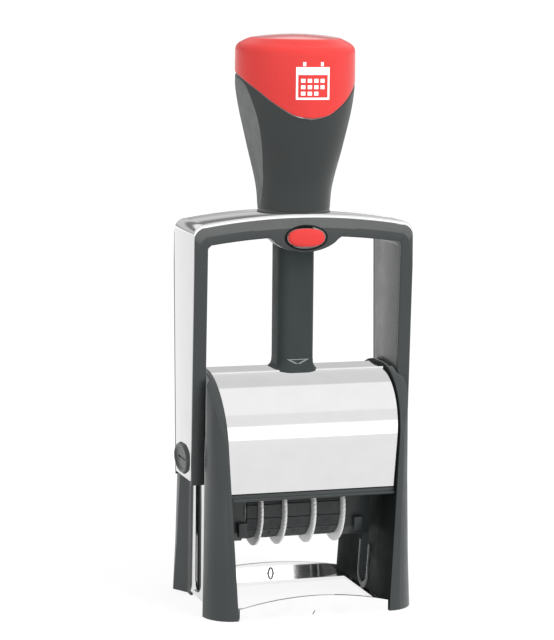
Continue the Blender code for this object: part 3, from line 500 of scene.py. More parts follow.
def dress(item, node, bevel=0.0, segments=2, angle=30.0, material=None, stands_for=True):
    """Round the edges, give the finish and put the piece in place of its CAD node."""
    item.data.materials.clear()
    item.data.materials.append(MATERIALS[material or SLOT_OF[node]])
    item.data.shade_smooth()
    if bevel:
        item.data.set_sharp_from_angle(angle=math.radians(180))
        modifier = item.modifiers.new("edge", "BEVEL")
        modifier.width = bevel * MM
        modifier.segments = segments
        modifier.limit_method = "ANGLE"
        modifier.angle_limit = math.radians(angle)
        modifier.harden_normals = True
        modifier.miter_outer = "MITER_ARC"
    else:
        item.data.set_sharp_from_angle(angle=math.radians(angle))
    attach(item, BODY_OF[node])
    item.visible_glossy = node not in QUIET_NODES
    if stands_for:
        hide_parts(node)
    return item


def cad_copy(node):
    """The CAD node's shape with shared corners and whole flat faces, ready to be refined."""
    shape = bmesh.new()
    shape.from_mesh(frame["nodes"][node].data)
    bmesh.ops.remove_doubles(shape, verts=shape.verts, dist=0.002 * MM)
    bmesh.ops.dissolve_limit(shape, angle_limit=math.radians(0.6), verts=shape.verts, edges=shape.edges)
    for vertex in shape.verts:
        vertex.co /= MM
    return shape


def refined(node, bevel=0.15, segments=2, angle=30.0, material=None):
    item = to_object(node + "_detail", cad_copy(node))
    return dress(item, node, bevel, segments, angle, material)


# ---------- handle ----------

def cap_edge(angle):
    """Height of the seam under the cap: a tongue at the front, level at the rear."""
    degrees = math.degrees(angle) % 360
    return interpolate(CAP_EDGE, min(degrees, 360 - degrees))


def soften(points, radius, steps=4):
    """Round the inner corners of an open line of points."""
    result = [points[0]]
    for before, corner, after in zip(points, points[1:], points[2:]):
        here = Vector(corner)
        to_before = Vector(before) - here
        to_after = Vector(after) - here
        reach = min(radius, to_before.length * 0.45, to_after.length * 0.45)
        start = here + to_before.normalized() * reach
        end = here + to_after.normalized() * reach
        for i in range(steps + 1):
            t = i / steps
            result.append(tuple(start * (1 - t) ** 2 + here * 2 * t * (1 - t) + end * t ** 2))
    result.append(points[-1])
    return result


def handle_cap():
    """Cap with a sheer wall, a wide rounded shoulder and a slightly domed top."""
    radius = CAP_HIGH.x
    top = CAP_HIGH.z

    def profile(angle):
        low = cap_edge(angle) + GAP / 2
        dip = CAP_FRONT_DIP * max(0.0, math.cos(angle))
        plate_z = CAP_PLATE_Z - 0.5 * dip
        line = [(radius - CAP_WALL, CAP_ROOF_Z - CAP_FRONT_DIP), (radius - CAP_WALL, low), (radius, low)]
        line += [(radius - inset, z - dip) for inset, z in CAP_SHOULDER]
        line.append((CAP_PLATE_RADIUS, plate_z))
        for i in range(1, 8):
            inside = 1 - i / 8
            line.append((CAP_PLATE_RADIUS * inside, top - (top - plate_z) * inside ** 2))
        return soften(line, 0.6, 4)

    shape, rows = revolve(profile)
    skin_rows(shape, rows)
    close_fan(shape, rows, -1, (0, 0, top))
    close_fan(shape, rows, 0, (0, 0, CAP_ROOF_Z - CAP_FRONT_DIP))
    item = dress(to_object("handle_cap_shell", shape), "handle_cap", angle=48)
    item.data.materials.append(MATERIALS["red_polished"])
    for face in item.data.polygons:
        if face.normal.z > 0.97:
            face.material_index = 1


def wrapped_patch(shape, u0, u1, z0, z1):
    """A thin printed patch that follows the round front; u runs along it from the middle."""
    columns = max(2, math.ceil((u1 - u0) / 0.6))
    inside = CAP_HIGH.x - PRINT_RISE
    outside = CAP_HIGH.x + PRINT_RISE
    rows = []
    for i in range(columns + 1):
        angle = between(u0, u1, i / columns) / CAP_HIGH.x
        out = Vector((math.sin(angle), -math.cos(angle), 0))
        corners = ((inside, z0), (outside, z0), (outside, z1), (inside, z1))
        rows.append([out * r + Vector((0, 0, z)) for r, z in corners])
    grid(rows, shape=shape)


def cap_pictogram():
    """A plain calendar sign: a sheet with a header, two rings and rows of days."""
    shape = bmesh.new()
    left, right, low, high = -4.6, 4.6, 135.6, 144.0
    line = 0.55
    header = 2.0
    wrapped_patch(shape, left, right, high - header, high)
    wrapped_patch(shape, left, right, low, low + line)
    wrapped_patch(shape, left, left + line, low + line, high - header)
    wrapped_patch(shape, right - line, right, low + line, high - header)
    for u in (-2.4, 2.4):
        wrapped_patch(shape, u - 0.4, u + 0.4, high + 0.25, high + 1.3)
    for row in range(3):
        for column in range(4):
            u = -3.3 + 1.75 * column
            z = low + 1.1 + 1.65 * row
            if (row, column) != (0, 3):
                wrapped_patch(shape, u, u + 1.15, z, z + 1.0)
    item = to_object("cap_pictogram", shape)
    dress(item, "handle_cap", material="white_print", stands_for=False)


def grip_outline(z_of_angle, level):
    """One closed ring of the grip; the creases of its side flats fall on fixed columns."""
    round_steps = 26
    flat_steps = 10
    ring = []
    for quarter in range(4):
        steps = flat_steps if quarter % 2 else round_steps
        for i in range(steps):
            angle = 0.0
            z = 0.0
            for _ in range(6):
                z = z_of_angle(angle, level)
                radius = interpolate(GRIP_PROFILE, z)
                limit = min(interpolate(GRIP_FLATS, z), radius * 0.9995)
                crease = math.asin(limit / radius)
                creases = (-crease, crease, math.pi - crease, math.pi + crease, math.tau - crease)
                angle = between(creases[quarter], creases[quarter + 1], i / steps)
            x = max(-limit, min(limit, radius * math.sin(angle)))
            ring.append(Vector((x, -radius * math.cos(angle), z)))
    return ring


def handle_grip():
    bottom = GRIP_LOW.z

    def height(angle, level):
        return between(bottom, cap_edge(angle) - GAP / 2, level)

    levels = [0.0, 0.012] + [i / 34 for i in range(1, 34)] + [0.985, 1.0]
    rings = [grip_outline(height, level) for level in levels]
    rings[0] = [Vector((p.x * 0.975, p.y * 0.975, p.z)) for p in rings[0]]
    rings[-1] = [Vector((p.x * 0.985, p.y * 0.985, p.z)) for p in rings[-1]]
    bore = []
    for source in (rings[-1], rings[0]):
        ring = []
        for point in source:
            flat = Vector((point.x, point.y, 0)).normalized() * GRIP_BORE
            ring.append(flat + Vector((0, 0, point.z)))
        bore.append(ring)
    item = to_object("handle_grip_shell", grid(rings + bore, wrap_rows=True))
    dress(item, "handle_grip", 0.28, 3, angle=13)


def grip_base_ring():
    """Dark foot ring between the grip and the top of the yoke."""
    rows = [flat_ring("Z", z, ellipse(0, 0, radius, radius, 96)) for radius, z in GRIP_RING]
    item = to_object("handle_grip_ring", grid(rows, wrap_rows=True))
    dress(item, "handle_grip", angle=50, stands_for=False)


def full_oval(half_x, half_z, centre, steps=64):
    """Oval with fuller corners than an ellipse."""
    points = []
    for x, z in ellipse(0, 0, 1, 1, steps):
        reach = (abs(x) ** 2.5 + abs(z) ** 2.5) ** -0.4
        points.append((half_x * reach * x, centre + half_z * reach * z))
    return points


def lock_button():
    """Oval push button with a crowned face on a shorter stem."""
    half = (BUTTON_HIGH.x * 0.96, (BUTTON_HIGH.z - BUTTON_Z) * 0.93)
    front = BUTTON_LOW.y
    back = BUTTON_HIGH.y
    steps = ((back, 0.65), (-10.6, 0.66), (-10.3, 0.98), (front + 1.0, 1.0), (front + 0.6, 0.985),
             (front + 0.3, 0.93), (front + 0.12, 0.82), (front + 0.04, 0.62), (front, 0.34))
    rows = [flat_ring("Y", y, full_oval(half[0] * share, half[1] * share, BUTTON_Z))
            for y, share in steps]
    dress(to_object("lock_button_shell", grid(rows)), "lock_button", angle=50)


# ---------- yoke ----------

def yoke_depth(z):
    part = min(1.0, max(0.0, (z - YOKE_TAPER_Z) / (YOKE_SHOULDER_Z - YOKE_TAPER_Z)))
    return between(YOKE_HALF_DEPTH_LOW, YOKE_HALF_DEPTH_TOP, part)


def arch_top(x):
    return STRAP_HIGH.z - YOKE_TOP_DROP * (x / YOKE_TOP_HALF_X) ** 2


def arch_under(x, belly):
    """Underside of the cross beam, with or without the belly that holds the lock button."""
    z = YOKE_UNDER_Z - YOKE_UNDER_DROP * (x / YOKE_UNDER_HALF_X) ** 2
    if belly and abs(x) < BELLY_HALF_X:
        bulge = 1 - (x / BELLY_HALF_X) ** 2
        z -= (YOKE_UNDER_Z - BELLY_BOTTOM_Z) * bulge ** 0.7
    return z


def u_path(half_x, radius, corner_x, corner_z, beam_z, bottom):
    """An upside-down U, right foot to left foot; beam_z gives the height of its beam at an x."""
    path = [(half_x, between(bottom, corner_z, i / FOOT_STEPS)) for i in range(FOOT_STEPS)]
    path += arc(corner_x, corner_z, radius, radius, 0, 90, CORNER_STEPS)
    for i in range(1, BEAM_STEPS):
        x = corner_x * (1 - 2 * i / BEAM_STEPS)
        path.append((x, beam_z(x)))
    path += arc(-corner_x, corner_z, radius, radius, 90, 180, CORNER_STEPS)
    path += [(-half_x, between(corner_z, bottom, (i + 1) / FOOT_STEPS)) for i in range(FOOT_STEPS)]
    return path


def over_path(inset, bottom, drop=0.0):
    """Outer line of the yoke; a drop lowers its beam."""
    corner_x = STRAP_HIGH.x - YOKE_CORNER
    corner_z = arch_top(corner_x) - YOKE_CORNER - drop
    return u_path(STRAP_HIGH.x - inset, YOKE_CORNER - inset, corner_x, corner_z,
                  lambda x: arch_top(x) - inset - drop, bottom)


def under_path(bottom, belly):
    """Inner line of the yoke, matched point by point with the outer line."""
    corner_x = YOKE_INNER_X - YOKE_INNER_CORNER
    corner_z = arch_under(corner_x, False) - YOKE_INNER_CORNER
    return u_path(YOKE_INNER_X, YOKE_INNER_CORNER, corner_x, corner_z,
                  lambda x: arch_under(x, belly), bottom)


def yoke_strap():
    """Chrome band over the outside of the yoke."""
    bottom = STRAP_LOW.z
    outer = over_path(0.0, bottom)
    inner = over_path(STRAP_THICK, bottom)
    rows = []
    for (ox, oz), (ix, iz) in zip(outer, inner):
        half = yoke_depth(oz) - TRIM_THICK - GAP * 0.5
        out = Vector((ox - ix, 0, oz - iz)).normalized()
        edge = [(half, STRAP_THICK), (half, 0.5), (half - 0.07, 0.24), (half - 0.25, 0.07),
                (half - 0.6, 0.0)]
        section = edge + [(0.0, -0.05)] + [(-y, depth) for y, depth in reversed(edge)]
        rows.append([Vector((ox, y, oz)) - out * depth for y, depth in section])
    item = to_object("yoke_strap_band", grid(rows))
    lug = ellipse(0, PLUG_Z, PLUG_HIGH.y + GAP, PLUG_HIGH.z - PLUG_Z + GAP)
    combine(item, prism("X", -32, 32, lug))
    hole = rounded_rectangle(COLUMN_HIGH.x + GAP, COLUMN_HIGH.y + GAP, COLUMN_ROUND)
    combine(item, prism("Z", 90, 110, hole))
    dress(item, "yoke_strap", angle=38)


def chamfer_height(z):
    """The sloped upper edge of a trim: tall over the beam, thin down the arms."""
    over_beam = max(0.0, min(1.0, (z - SLOPE_END_Z) / 6.5))
    return between(0.32, 2.4, over_beam ** 0.8)


def yoke_trim(side, node):
    """Plastic edging of the yoke with a sloped band over the beam and a rolled inner edge."""
    bottom = TRIM_LOW.z
    outer = over_path(0.1, bottom, TRIM_DROP)
    inner = under_path(bottom, belly=side < 0)
    rows = []
    for (ox, oz), (ix, iz) in zip(outer, inner):
        start = Vector((ox, 0, oz))
        across = Vector((ix - ox, 0, iz - oz))
        length = across.length
        across.normalize()
        depth = yoke_depth(oz)
        depth_in = yoke_depth(iz)
        slope = chamfer_height(oz)
        fall = 0.72 * min(1.0, slope / 2.0) + 0.12
        section = ((0.0, depth - TRIM_THICK + 0.02), (0.0, depth - fall - 0.08), (0.05, depth - fall),
                   (slope - 0.1, depth - 0.03), (slope + 0.1, depth),
                   (length - 0.42, depth_in), (length - 0.2, depth_in - 0.1),
                   (length - 0.03, depth_in - 0.3), (length, depth_in - TRIM_THICK + 0.02))
        rows.append([start + across * reach + Vector((0, side * y, 0)) for reach, y in section])
    item = to_object(node + "_edging", grid(rows))
    if side < 0:
        hole = ellipse(0, BUTTON_Z, BUTTON_HIGH.x + GAP, BUTTON_HIGH.z - BUTTON_Z + GAP, 64)
        combine(item, prism("Y", -14, 0, hole))
    dress(item, node, 0.07, 2, angle=24, material="edging_plastic")
    # Faces of the sloped band over the beam take the lighter copy: a painted highlight where the top light
    # falls
    item.data.materials.append(MATERIALS["slope_painted_highlight"])
    for face in item.data.polygons:
        outward = Vector((face.center.x, 0, face.center.z - ARCH_CENTRE_Z * MM)).normalized()
        leans_out = face.normal.dot(outward) > 0.12 and face.normal.y * side > 0.3
        if leans_out and face.center.z > SLOPE_END_Z * MM:
            face.material_index = 1


def button_rim():
    """A thin raised rim round the lock button, in the darker plastic that paints the shade of the recess."""
    face = TRIM_LOW.y
    rows = []
    half_x = BUTTON_HIGH.x + GAP
    half_z = BUTTON_HIGH.z - BUTTON_Z + GAP
    for grow, y in ((0.02, face + 0.5), (0.02, face - 0.12), (0.12, face - 0.2), (0.3, face - 0.2),
                    (0.46, face - 0.06), (0.5, face + 0.5)):
        rows.append(flat_ring("Y", y, ellipse(0, BUTTON_Z, half_x + grow, half_z + grow, 64)))
    item = to_object("lock_button_rim", grid(rows, wrap_rows=True))
    dress(item, "yoke_front_trim", angle=60, material="inside_painted_shade", stands_for=False)


def lug_plug(side, node):
    """Oval plug over the axle end: rim, dished face and a screwdriver slot."""
    low = PLUG_LOW.x
    high = PLUG_HIGH.x
    steps = ((low, 0.0), (high - 0.35, 0.0), (high - 0.1, -0.12), (high, -0.4), (high - 0.04, -0.75),
             (high - 0.35, -1.05), (high - 0.5, -1.9), (high - 0.62, -3.2))
    base = ellipse(0, PLUG_Z, PLUG_HIGH.y, PLUG_HIGH.z - PLUG_Z, 64)
    rows = [flat_ring("X", x, scaled(base, 0, PLUG_Z, grow, grow)) for x, grow in steps]
    item = to_object(node + "_shell", mirror_x(grid(rows), side))
    slot = rounded_rectangle(3.6, 0.28, 0.25, 4, 0.0, PLUG_Z)
    combine(item, mirror_x(prism("X", high - 0.85, high + 1.0, slot), side))
    dress(item, node, angle=42)


# ---------- column and hood ----------

def hood_surface(y):
    """Height of the hood's outside at a depth."""
    bend = max(abs(y), HOOD_CREASE_Y + 0.25)
    round_z = SHOULDER_Z + math.sqrt(HOOD_RADIUS ** 2 - (bend - SHOULDER_Y) ** 2)
    return between(HOOD_HIGH.z, round_z, min(1.0, max(0.0, abs(y) - HOOD_CREASE_Y) / 0.25))


def inner_x(z):
    return INNER_X_FOOT + INNER_X_SLOPE * z


def guide_column():
    """Square column with soft corners, a bore for the spring and a front arrow sign."""
    low = COLUMN_LOW.z
    high = COLUMN_HIGH.z
    half_x = COLUMN_HIGH.x
    half_y = COLUMN_HIGH.y
    outline = rounded_rectangle(half_x, half_y, COLUMN_ROUND, 8)
    bore = []
    for x, y in outline:
        angle = math.atan2(y, x)
        bore.append((COLUMN_BORE * math.cos(angle), COLUMN_BORE * math.sin(angle)))
    rim = [(x * 0.96, y * 0.96) for x, y in outline]
    levels = ((low, outline), (high - 0.3, outline), (high, rim), (high, bore),
              (SPRING_LOW.z - GAP, bore))
    item = to_object("guide_column_tube", grid([flat_ring("Z", *level) for level in levels]))
    dress(item, "guide_column", angle=30, material="column_plastic")
    arrow = [(-3.15, 66.1), (3.15, 66.1), (0.0, 64.45)]
    inset = [(-1.95, 65.88), (1.95, 65.88), (0.0, 64.88)]
    rows = [flat_ring("Y", -half_y + depth, outline)
            for outline, depth in ((arrow, 0.1), (arrow, -0.12), (inset, -0.12), (inset, 0.1))]
    sign = to_object("column_arrow", grid(rows, wrap_rows=True))
    dress(sign, "guide_column", stands_for=False, material="grey_print")


def column_collar():
    """Soft round foot of the column, which follows the hood under it."""
    column = rounded_rectangle(COLUMN_HIGH.x + 0.05, COLUMN_HIGH.y + 0.05, COLUMN_ROUND + 0.05, 12)
    foot_half = (COLLAR_HIGH.x - 0.2, COLLAR_HIGH.y)
    foot = rounded_rectangle(*foot_half, FOOT_ROUND, 12)
    rows = []
    for part in (0.0, 0.06, 0.14, 0.24, 0.36, 0.5, 0.7, 1.0):
        ring = []
        for (x, y), (top_x, top_y) in zip(foot, column):
            spread = (1 - part) ** 3
            reach_x = between(top_x, x, spread)
            reach_y = between(top_y, y, spread)
            low = hood_surface(reach_y) + 0.04
            ring.append(Vector((reach_x, reach_y, between(low, COLLAR_HIGH.z, part))))
        rows.append(ring)
    rows.append([Vector((x, y, hood_surface(y) + 0.04)) for x, y in column])
    item = to_object("column_foot", grid(rows, wrap_rows=True))
    dress(item, "column_collar", angle=50, material="column_plastic")


def hood():
    """Polished cover: front sheet, round shoulder and a flat top strip."""
    rear_angle = math.degrees(math.asin((HOOD_REAR_Z - SHOULDER_Z) / HOOD_RADIUS))
    half = HOOD_CREASE_Y
    top_angle = math.degrees(math.acos((half + 0.25 - SHOULDER_Y) / HOOD_RADIUS))
    inner = HOOD_RADIUS - HOOD_THICK
    line = [(-SHOULDER_Y - HOOD_RADIUS, HOOD_LOW.z)]
    line += arc(-SHOULDER_Y, SHOULDER_Z, HOOD_RADIUS, HOOD_RADIUS, 180, 180 - top_angle, 56)
    line += [(-half, HOOD_HIGH.z), (half, HOOD_HIGH.z)]
    line += arc(SHOULDER_Y, SHOULDER_Z, HOOD_RADIUS, HOOD_RADIUS, top_angle, rear_angle, 20)
    line += arc(SHOULDER_Y, SHOULDER_Z, inner, inner, rear_angle, 90, 20)
    line += arc(-SHOULDER_Y, SHOULDER_Z, inner, inner, 90, 180, 40)
    line.append((-SHOULDER_Y - inner, HOOD_LOW.z))
    rows = [[Vector((side * (inner_x(z) - GAP), y, z)) for y, z in line] for side in (-1, 1)]
    item = to_object("hood_sheet", grid(rows))
    hole = rounded_rectangle(COLUMN_HIGH.x + GAP, COLUMN_HIGH.y + GAP, COLUMN_ROUND)
    combine(item, prism("Z", 55, 66, hole))
    dress(item, "hood", 0.12, 3, angle=25)


def return_spring():
    """Coil spring wound over the height of the CAD spring."""
    low = SPRING_LOW.z + SPRING_WIRE
    high = SPRING_HIGH.z - SPRING_WIRE
    steps = SPRING_TURNS * SPRING_TURN_STEPS
    rings = []
    for i in range(steps + 1):
        part = i / steps
        turn = 2 * math.pi * SPRING_TURNS * part
        out = Vector((math.cos(turn), math.sin(turn), 0))
        centre = out * SPRING_RADIUS + Vector((0, 0, between(low, high, part)))
        ring = []
        for k in range(WIRE_STEPS):
            angle = math.tau * k / WIRE_STEPS
            rise = Vector((0, 0, SPRING_WIRE * math.sin(angle)))
            ring.append(centre + out * SPRING_WIRE * math.cos(angle) + rise)
        rings.append(ring)
    item = dress(to_object("return_spring_wire", grid(rings)), "return_spring", angle=60)
    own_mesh(item)


# ---------- ink cartridge ----------

def ink_pad():
    """Felt pad with a crowned face and rounded, slightly pulled-in edges."""
    middle = (PAD_LOW.z + PAD_HIGH.z) / 2
    rise = (PAD_HIGH.z - PAD_LOW.z) / 2
    rows = []
    for drop, inset in ((-1.0, 0.9), (-0.93, 0.45), (-0.7, 0.1), (0.0, 0.0), (0.7, 0.1), (1.0, 0.4)):
        outline = rounded_rectangle(PAD_HIGH.x - inset, PAD_HIGH.y - inset, 1.6, 10)
        rows.append(flat_ring("Z", middle + rise * drop, outline))
    item = to_object("ink_pad_felt", grid(rows[1:]))
    sub = item.modifiers.new("cushion", "SUBSURF")
    sub.levels = 1
    sub.render_levels = 1
    dress(item, "ink_pad", angle=60)


# ---------- print unit ----------

def setting_wheel(number):
    """Setting wheel: knurled rim disc on a hub with a bore."""
    node = f"setting_wheel_{number}"
    low, high = mm_box(node)
    centre_z = (low.z + high.z) / 2
    radius = (high.z - low.z) / 2
    disc_low = high.x - WHEEL_DISC_THICK
    steps = WHEEL_TEETH * TOOTH_STEPS
    loops = []
    for k in range(steps):
        angle = math.tau * k / steps
        in_groove = (k % TOOTH_STEPS) / TOOTH_STEPS < 0.3
        rim = radius - (KNURL_DEPTH if in_groove else 0.0)
        section = ((low.x, WHEEL_BORE), (low.x, WHEEL_HUB_RADIUS - 0.2), (low.x + 0.2, WHEEL_HUB_RADIUS),
                   (disc_low, WHEEL_HUB_RADIUS), (disc_low, radius - 1.3), (disc_low, radius - 0.4),
                   (disc_low + 0.16, rim), (high.x - 0.16, rim), (high.x, radius - 0.4),
                   (high.x, radius - 1.3), (high.x - 0.15, radius - 1.5),
                   (high.x - 0.15, 3.2), (high.x, 2.9), (high.x, WHEEL_BORE))
        loops.append([Vector((x, r * math.sin(angle), centre_z + r * math.cos(angle))) for x, r in section])
    item = to_object(node + "_disc", grid(loops, wrap_rows=True))
    dress(item, node, angle=32)


def belt_line(hub_radius, nose_radius, steps=40):
    """Line round the hub and the nose, joined by two straight runs."""
    tilt = math.degrees(math.asin((hub_radius - nose_radius) / (WHEEL_DROP + NOSE_HEIGHT)))
    line = arc(0, FLIP_Z + NOSE_HEIGHT, nose_radius, nose_radius, tilt, 180 - tilt, steps // 2)
    line += arc(0, FLIP_Z - WHEEL_DROP, hub_radius, hub_radius, 180 - tilt, 360 + tilt, steps)
    return line


def along_line(line):
    """Length of a closed line and a function that gives the point and outward way at a distance."""
    closed = [Vector(p) for p in line] + [Vector(line[0])]
    lengths = [0.0]
    for a, b in zip(closed, closed[1:]):
        lengths.append(lengths[-1] + (b - a).length)

    def place(distance):
        distance %= lengths[-1]
        for i in range(len(closed) - 1):
            if distance <= lengths[i + 1]:
                share = (distance - lengths[i]) / max(1e-9, lengths[i + 1] - lengths[i])
                along = (closed[i + 1] - closed[i]).normalized()
                return closed[i].lerp(closed[i + 1], share), Vector((along.y, -along.x))
        return closed[-1], Vector((0, 1))

    return lengths[-1], place


def sign_shape(text, size):
    """Flat faces of a short sign, centred, from Blender's own font."""
    curve = bpy.data.curves.new("sign", "FONT")
    curve.body = text
    curve.size = size
    curve.resolution_u = 2
    curve.align_x = "CENTER"
    curve.align_y = "CENTER"
    holder = bpy.data.objects.new("sign", curve)
    bpy.context.scene.collection.objects.link(holder)
    bpy.context.view_layer.update()
    mesh = bpy.data.meshes.new_from_object(holder.evaluated_get(bpy.context.evaluated_depsgraph_get()))
    bpy.data.objects.remove(holder, do_unlink=True)
    return mesh


def add_sign(shape, mesh, to_world, rise):
    """Add a raised sign; to_world turns flat (u, v, height) into a point."""
    part = bmesh.new()
    part.from_mesh(mesh)
    bmesh.ops.remove_doubles(part, verts=part.verts, dist=1e-5)
    made = bmesh.ops.extrude_face_region(part, geom=part.faces[:])
    for item in made["geom"]:
        if isinstance(item, bmesh.types.BMVert):
            item.co.z += 1.0
    twins = {v: shape.verts.new(to_world(v.co.x, v.co.y, v.co.z * rise)) for v in part.verts}
    for face in part.faces:
        shape.faces.new([twins[v] for v in face.verts])
    part.free()


def band_signs(number):
    """What the four bands carry: tens of the day, day, month number and year."""
    first, count = ((0, 4), (0, 10), (1, 12), (26, 12))[number - 1]
    return [str(first + i % count) for i in range(BAND_PADS)]


def date_band(number):
    """Rubber band: flat pads between fine grooves, each with a raised mirror-image sign."""
    node = f"date_band_{number}"
    low, high = mm_box(node)
    base = BAND_THICK - GLYPH_RISE
    hub = WHEEL_HUB_RADIUS + GAP + base
    length, place = along_line(belt_line(hub, NOSE_RADIUS + GAP + base, 120))
    pitch = length / BAND_PADS
    start = math.pi * (NOSE_RADIUS + GAP + base) / 2
    edge = pitch / 2
    loops = []
    for pad in range(BAND_PADS):
        for offset in (-edge, -edge + 0.16, -edge * 0.5, 0.0, edge * 0.5, edge - 0.16):
            spot, out = place(start + pad * pitch + offset)
            on_hub = spot.y < FLIP_Z - WHEEL_DROP + 3.0
            swell = hub * (1 / math.cos(offset / hub) - 1) if on_hub else 0.0
            rise = -PAD_GROOVE if offset == -edge else swell
            face = spot + out * rise
            back = spot - out * base
            loops.append([Vector((x, *point)) for x, point in
                          ((low.x, back), (low.x, face - out * BAND_EDGE), (low.x + BAND_EDGE, face),
                           (high.x - BAND_EDGE, face), (high.x, face - out * BAND_EDGE),
                           (high.x, back))])
    dress(to_object(node + "_belt", grid(loops, wrap_rows=True)), node, angle=14)
    middle = (low.x + high.x) / 2
    raised = bmesh.new()
    for pad, text in enumerate(band_signs(number)):
        centre = start + pitch * pad

        def to_world(u, v, rise, centre=centre):
            spot, out = place(centre + v)
            spot = spot + out * (rise - 0.06)
            return Vector((middle - u, spot.x, spot.y))

        add_sign(raised, sign_shape(text, SIGN_HEIGHT), to_world, GLYPH_RISE + 0.05)
    dress(to_object(node + "_signs", raised), node, angle=40, stands_for=False)


def text_die():
    """Rubber plate with a raised border, plain ruled bars and the date opening."""
    item = to_object("text_die_plate", cad_copy("text_die"))
    top = DIE_HIGH.z
    cavity = prism("Z", top - 0.45, top + 1,
                   rounded_rectangle(DIE_HIGH.x - 0.9, DIE_HIGH.y - 0.9, 0.6, 6))
    combine(item, cavity)
    date = mm_box("band_nose")
    rib = 0.7
    frame_low = date[0].x - 0.6
    frame_high = DATE_HIGH_X + rib
    frame_middle = (frame_low + frame_high) / 2
    bars = [rounded_rectangle((frame_high - frame_low) / 2, rib / 2, 0.1, 2, frame_middle, y)
            for y in (-DATE_HALF_Y - rib / 2, DATE_HALF_Y + rib / 2)]
    bars += [rounded_rectangle(half, 0.45, 0.2, 3, 0.0, y) for y, half in
             ((-9.4, 13.0), (-7.6, 15.5), (-5.8, 11.0), (5.8, 12.0), (7.6, 16.5), (9.4, 10.0))]
    for bar in bars:
        combine(item, prism("Z", top - 0.8, top - 0.02, bar), "UNION")
    dress(item, "text_die", 0.05, 2)


# ---------- base ----------

def lip_outline(heights):
    """Front view of a lip with its arched top, from end and middle heights."""
    steps = 64
    points = [(-BASE_HALF_X, 0.2), (BASE_HALF_X, 0.2)]
    for i in range(steps + 1):
        x = BASE_HALF_X * (1 - 2 * i / steps)
        points.append((x, between(*heights, 1 - (x / BASE_HALF_X) ** 2)))
    return points


def base_plate():
    """Bright plate with a print window, two arched lips and an index mark on each lip."""
    ear_x = BASE_HIGH.x
    right = [(BASE_HALF_X, -BASE_HALF_Y), (BASE_HALF_X, -BASE_EAR_Y), (ear_x, -BASE_EAR_Y),
             (ear_x, BASE_EAR_Y), (BASE_HALF_X, BASE_EAR_Y), (BASE_HALF_X, BASE_HALF_Y)]
    left = [(-x, y) for x, y in reversed(right)]
    item = to_object("base_plate_sheet", prism("Z", 0.0, BASE_THICK, right + left))
    combine(item, prism("Z", -1, 3, rounded_rectangle(*WINDOW_HALF, 0.5, 4)))
    combine(item, prism("Y", BASE_LOW.y, BASE_LOW.y + LIP_THICK, lip_outline(FRONT_LIP_Z)), "UNION")
    combine(item, prism("Y", BASE_HIGH.y - LIP_THICK, BASE_HIGH.y, lip_outline(REAR_LIP_Z)), "UNION")
    for number in range(1, 5):
        low, high = mm_box(f"base_screw_{number}")
        radius = (high.x - low.x) / 2 + GAP
        hole = ellipse((low.x + high.x) / 2, (low.y + high.y) / 2, radius, radius, 32)
        combine(item, prism("Z", -1, 3, hole))
    dress(item, "base_plate", 0.14, 3, angle=25, material="base_chrome")
    inside = BASE_HIGH.y - LIP_THICK
    loop = []
    for grow, y in ((0.0, inside + 0.1), (0.0, inside - 0.1), (0.2, inside - 0.24), (0.4, inside - 0.1),
                    (0.4, inside + 0.1)):
        foot = 0.6 + grow
        outline = [(INDEX_X - foot, BASE_THICK), (INDEX_X + foot, BASE_THICK)]
        outline += arc(INDEX_X, 1.85, 0.3 + grow, 0.55 + grow, 0, 180, 12)
        loop.append(flat_ring("Y", y, outline))
    mark = to_object("base_index_loop", grid(loop, wrap_rows=True))
    dress(mark, "base_plate", angle=50, material="gloss_dark", stands_for=False)
    tick = [(-0.65, 0.45), (-0.4, 0.45), (0.2, 1.35), (0.05, 1.5)]
    mark = to_object("base_index_tick", prism("Y", BASE_LOW.y - 0.03, BASE_LOW.y + 0.3, tick))
    dress(mark, "base_plate", material="gloss_dark", stands_for=False)


def slot_rim(side):
    """Rounded U-shaped rim round the foot of the slot, inside a side frame."""
    name = "left" if side < 0 else "right"
    rows = []
    for grow, lift in ((0.05, -0.4), (0.05, 0.1), (0.5, 0.3), (1.2, 0.3), (1.75, 0.1), (1.75, -0.4)):
        half = SLOT_HALF + grow
        bend = arc(0, SLOT_BOTTOM_Z + SLOT_HALF, half, half, 180, 360, 24)
        outline = [(-half, RIM_TOP_Z)] + bend + [(half, RIM_TOP_Z)]
        rows.append([Vector((side * (inner_x(z) - lift), y, z)) for y, z in outline])
    loops = [list(loop) for loop in zip(*rows)]
    item = to_object(f"side_frame_{name}_slot_rim", grid(loops))
    dress(item, f"side_frame_{name}", angle=50, material="edging_plastic", stands_for=False)


def side_frame(side):
    """Side frame whose inner face takes a darker, matt copy of its plastic as painted shade."""
    node = "side_frame_left" if side < 0 else "side_frame_right"
    item = refined(node, 0.3)
    # Inward faces get the darker copy: painted shade between the side frames
    item.data.materials.append(MATERIALS["inside_painted_shade"])
    for face in item.data.polygons:
        if face.normal.x * side < -0.8:
            face.material_index = 1


REFINED = {
    "slot_plate_left": 0.12, "slot_plate_right": 0.12,
    "base_screw_1": 0.1, "base_screw_2": 0.1, "base_screw_3": 0.1, "base_screw_4": 0.1,
    "upper_bridge": 0.2,
    "cartridge_rail_left": 0.2, "cartridge_rail_right": 0.2,
    "ink_cartridge": 0.25,
    "axle_pin_left": 0.15, "axle_pin_right": 0.15,
    "plunger_rod": 0.1,
    "unit_cheek_left": 0.25, "unit_cheek_right": 0.25,
    "cam_pin_left": 0.12, "cam_pin_right": 0.12,
    "tie_rod_front": 0.12, "tie_rod_rear": 0.12, "wheel_axle": 0.12,
    "die_carrier": 0.12, "band_nose": 0.08,
    "unit_clip_left": 0.15, "unit_clip_right": 0.15,
}


